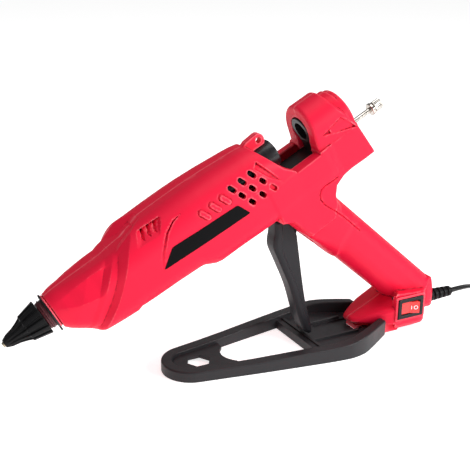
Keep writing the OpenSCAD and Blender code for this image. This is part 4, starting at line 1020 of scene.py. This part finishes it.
def stand_fn(P):
    x, y, z = P[:, 0], P[:, 1], P[:, 2]
    Y = np.abs(y)
    a2 = poly(x, Y, ARM)
    top = ip(x, [(-30, 8.1), (20, 8.3), (40, 8.6), (80, 10.4), (100, 11.2), (110, 11.7), (120, 12.8), (130, 14.4), (140, 15.1), (150, 15.4), (170, 15.6)])
    under = ip(x, [(-30, 0), (132, 0), (161, 3.2), (170, 4.2)])
    arms = rmax(a2, (z - top) * 0.985, 1.15)
    # sloping inner lead-in of the top face
    arms = np.maximum(arms, under - z)
    arms = rmax(arms, (x - 161.3) * 0.9 + (25.0 - Y) * -0.06, 0.8)
    web = np.maximum(poly(x, Y, [(-20, -3), (-18, 8), (-12, 14.8), (0, 17.4), (32, 22.5), (32, -3)]), np.abs(z - 3.6) - 1.4)
    web = rmax(web, 16 - np.sqrt((x - 42) ** 2 + y * y), 0.4)
    bar = np.maximum(np.maximum(np.abs(x - 95) - 3, Y - 34.5), np.abs(z - 3.5) - 3.5)
    deck = rmax(np.maximum(poly(x, Y, DECK), 2.6 - z), z - 6.0, 0.3)
    # shallow tray in the deck, open to the rear
    tray = rbox(x, Y, 131, 0, 1, 0, 17, 11.6, 1.5)
    deck = np.maximum(deck, -np.maximum(tray, 4.6 - z))
    rails = rmax(np.maximum(np.abs(x - 119.5) - 22.5, np.abs(Y - 14.2) - 1.2), np.abs(z - 4) - 4, 0.4)
    cross = rmax(np.maximum(np.abs(x - 98.5) - 1.4, Y - 33.5), np.abs(z - 4) - 4, 0.4)
    edge = rmax(np.maximum(np.abs(x - 143) - 0.9, Y - 14), np.abs(z - 3.6) - 3.0, 0.3)
    f = np.minimum(np.minimum(np.minimum(arms, web), np.minimum(bar, deck)), np.minimum(rails, cross))
    hexa = np.maximum(np.abs(y), np.abs(y * 0.5 + (x - 6) * 0.866))
    hexa = np.maximum(hexa, np.abs(y * 0.5 - (x - 6) * 0.866)) - 8.0
    f = rmax(f, -hexa, 0.4)
    f = np.maximum(f, -np.maximum(np.maximum(143 - x, Y - 7.2), x - 173))
    return np.maximum(f, -z + 0.0)


fill_sdf("stand_frame", stand_fn, (-25, -44.5, -1.2), (164, 44.5, 17.5), 0.62, "stand_plastic", "stand", ("stand",), ratio=0.45, sharp=30)

# ---------------------------------------------------------------- switch
SWX, SWY, SWZ = 185.1, -24.0, 22.2


def bezel_fn(P):
    x, y, z = P[:, 0] - SWX, P[:, 1] - SWY, P[:, 2] - SWZ
    o = rbox(x, z, 0, 0, 1, 0, 12.45, 8.45, 1.0)
    i = rbox(x, z, 0, 0, 1, 0, 9.0, 5.4, 0.5)
    f = rmax(o, np.abs(y + 1.0) - 1.0, 0.55)
    body_ = np.maximum(rbox(x, z, 0, 0, 1, 0, 10.6, 6.6, 0.5), np.abs(y - 5) - 5.5)
    f = np.minimum(f, body_)
    f = rmax(f, -np.maximum(i + (y + 2.0).clip(0, 0.7) * 0.6 - 0.4, y - 7.5), 0.25)
    return f


fill_sdf("switch_bezel", bezel_fn, (SWX - 14, SWY - 3.2, SWZ - 10), (SWX + 14, SWY + 12, SWZ + 10), 0.42, "switch_black", "housing", ("switch_body",), ratio=0.5)
RA = math.radians(-12.0)
RPOLY = [(-8.3, -5.6), (0, -3.9), (8.3, -5.6), (7.4, -0.5), (3, 2.6), (-3, 2.6), (-7.4, -0.5)]


def rocker_fn(P):
    x, y, z = P[:, 0] - SWX, P[:, 1] - (SWY + 3.0), P[:, 2] - SWZ
    u = x * math.cos(RA) + y * math.sin(RA)
    v = -x * math.sin(RA) + y * math.cos(RA)
    f = rmax(poly(u, v, RPOLY), np.abs(z) - 5.1, 0.45)
    return np.maximum(f, 1.05 - np.sqrt(x * x + y * y))


fill_sdf("rocker_cap", rocker_fn, (SWX - 10, SWY - 6, SWZ - 6), (SWX + 10, SWY + 7, SWZ + 6), 0.3, "rocker_red", "rocker", ("rocker",), ratio=0.6, sharp=28)


def marks_fn(P):
    x, y, z = P[:, 0] - SWX, P[:, 1] - (SWY + 3.0), P[:, 2] - SWZ
    u = x * math.cos(RA) + y * math.sin(RA)
    v = -x * math.sin(RA) + y * math.cos(RA)
    face = v + 3.9 + np.abs(u) * 1.7 / 8.3
    t = np.abs(face + 0.02) - 0.09
    ring = np.abs(np.sqrt((u - 5.2) ** 2 + z * z) - 1.45) - 0.3
    bar = np.maximum(np.abs(u - 1.7) - 0.28, np.abs(z) - 1.6)
    return np.maximum(t, np.minimum(ring, bar))


fill_sdf("rocker_marks", marks_fn, (SWX - 1, SWY - 5, SWZ - 3), (SWX + 9, SWY + 2, SWZ + 3), 0.12, "mark_white", "rocker", (), ratio=0.6)

# ---------------------------------------------------------------- carried-over CAD nodes
CAD_LOOK = {
    "housing_screws": "steel_screws", "melt_chamber": "aluminium", "front_support": "support_ring", "rear_support": "support_ring",
    "heater_cores": "heater_plate", "heater_film": "film", "heater_clamp": "spring_steel", "thermal_fuse": "fuse_body",
    "sleeve_clamp": "spring_steel", "wiring": "wire_blue", "stick_gripper": "spring_steel", "gripper_pin": "pin_steel",
    "trigger_pin": "pin_steel", "drive_pin": "pin_steel", "trigger_spring": "spring_steel", "stop_pad": "black_rubber",
    "adjuster_nut": "steel_screws", "switch_terminals": "terminal_brass", "cord_clamp": "black_plastic", "clamp_screws": "steel_screws",
}
for node, look in CAD_LOOK.items():
    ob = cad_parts.get(node)
    if ob is not None:
        ob.data.materials.clear()
        ob.data.materials.append(M[look])

# ---------------------------------------------------------------- floor, light
floor_mesh = bpy.data.meshes.new("floor")
import bmesh as _bmesh
_bm = _bmesh.new()
_bmesh.ops.create_grid(_bm, x_segments=8, y_segments=8, size=14.0)
_bm.to_mesh(floor_mesh)
_bm.free()
floor = bpy.data.objects.new("floor", floor_mesh)
scene.collection.objects.link(floor)
floor.location = (0, 6.0, -0.0002)
fmat = surface("floor_paper", (0.90, 0.90, 0.90), 0.8, spread=0.006, grain=300, bump=0.02, spec=0.1)
_pb = [n for n in fmat.node_tree.nodes if n.type == "BSDF_PRINCIPLED"][0]
_pb.inputs["Emission Color"].default_value = (1.0, 1.0, 1.0, 1.0)
_pb.inputs["Emission Strength"].default_value = 0.72
floor_mesh.materials.append(fmat)

world = bpy.data.worlds.new("studio")
world.use_nodes = True
world.node_tree.nodes["Background"].inputs[0].default_value = (1.0, 1.0, 1.0, 1)
world.node_tree.nodes["Background"].inputs[1].default_value = 0.24
scene.world = world


def area(name, loc, target, size, power, size_y=None):
    d = bpy.data.lights.new(name, "AREA")
    d.shape = "RECTANGLE"
    d.size = size
    d.size_y = size_y or size
    d.energy = power
    o = bpy.data.objects.new(name, d)
    scene.collection.objects.link(o)
    o.location = loc
    o.rotation_euler = (Vector(target) - Vector(loc)).to_track_quat("-Z", "Y").to_euler()
    return o


area("key_soft", (0.95, -1.15, 0.70), (0.0, 0.0, 0.10), 0.7, 19.0, 0.55)
area("top_soft", (0.25, -0.25, 1.8), (0.0, 0.0, 0.0), 1.2, 14.0)
area("left_fill", (-1.3, -0.9, 0.9), (0.0, 0.0, 0.08), 0.8, 0.8)
area("back_rim", (0.7, 1.1, 1.1), (0.0, 0.0, 0.12), 0.7, 1.2)
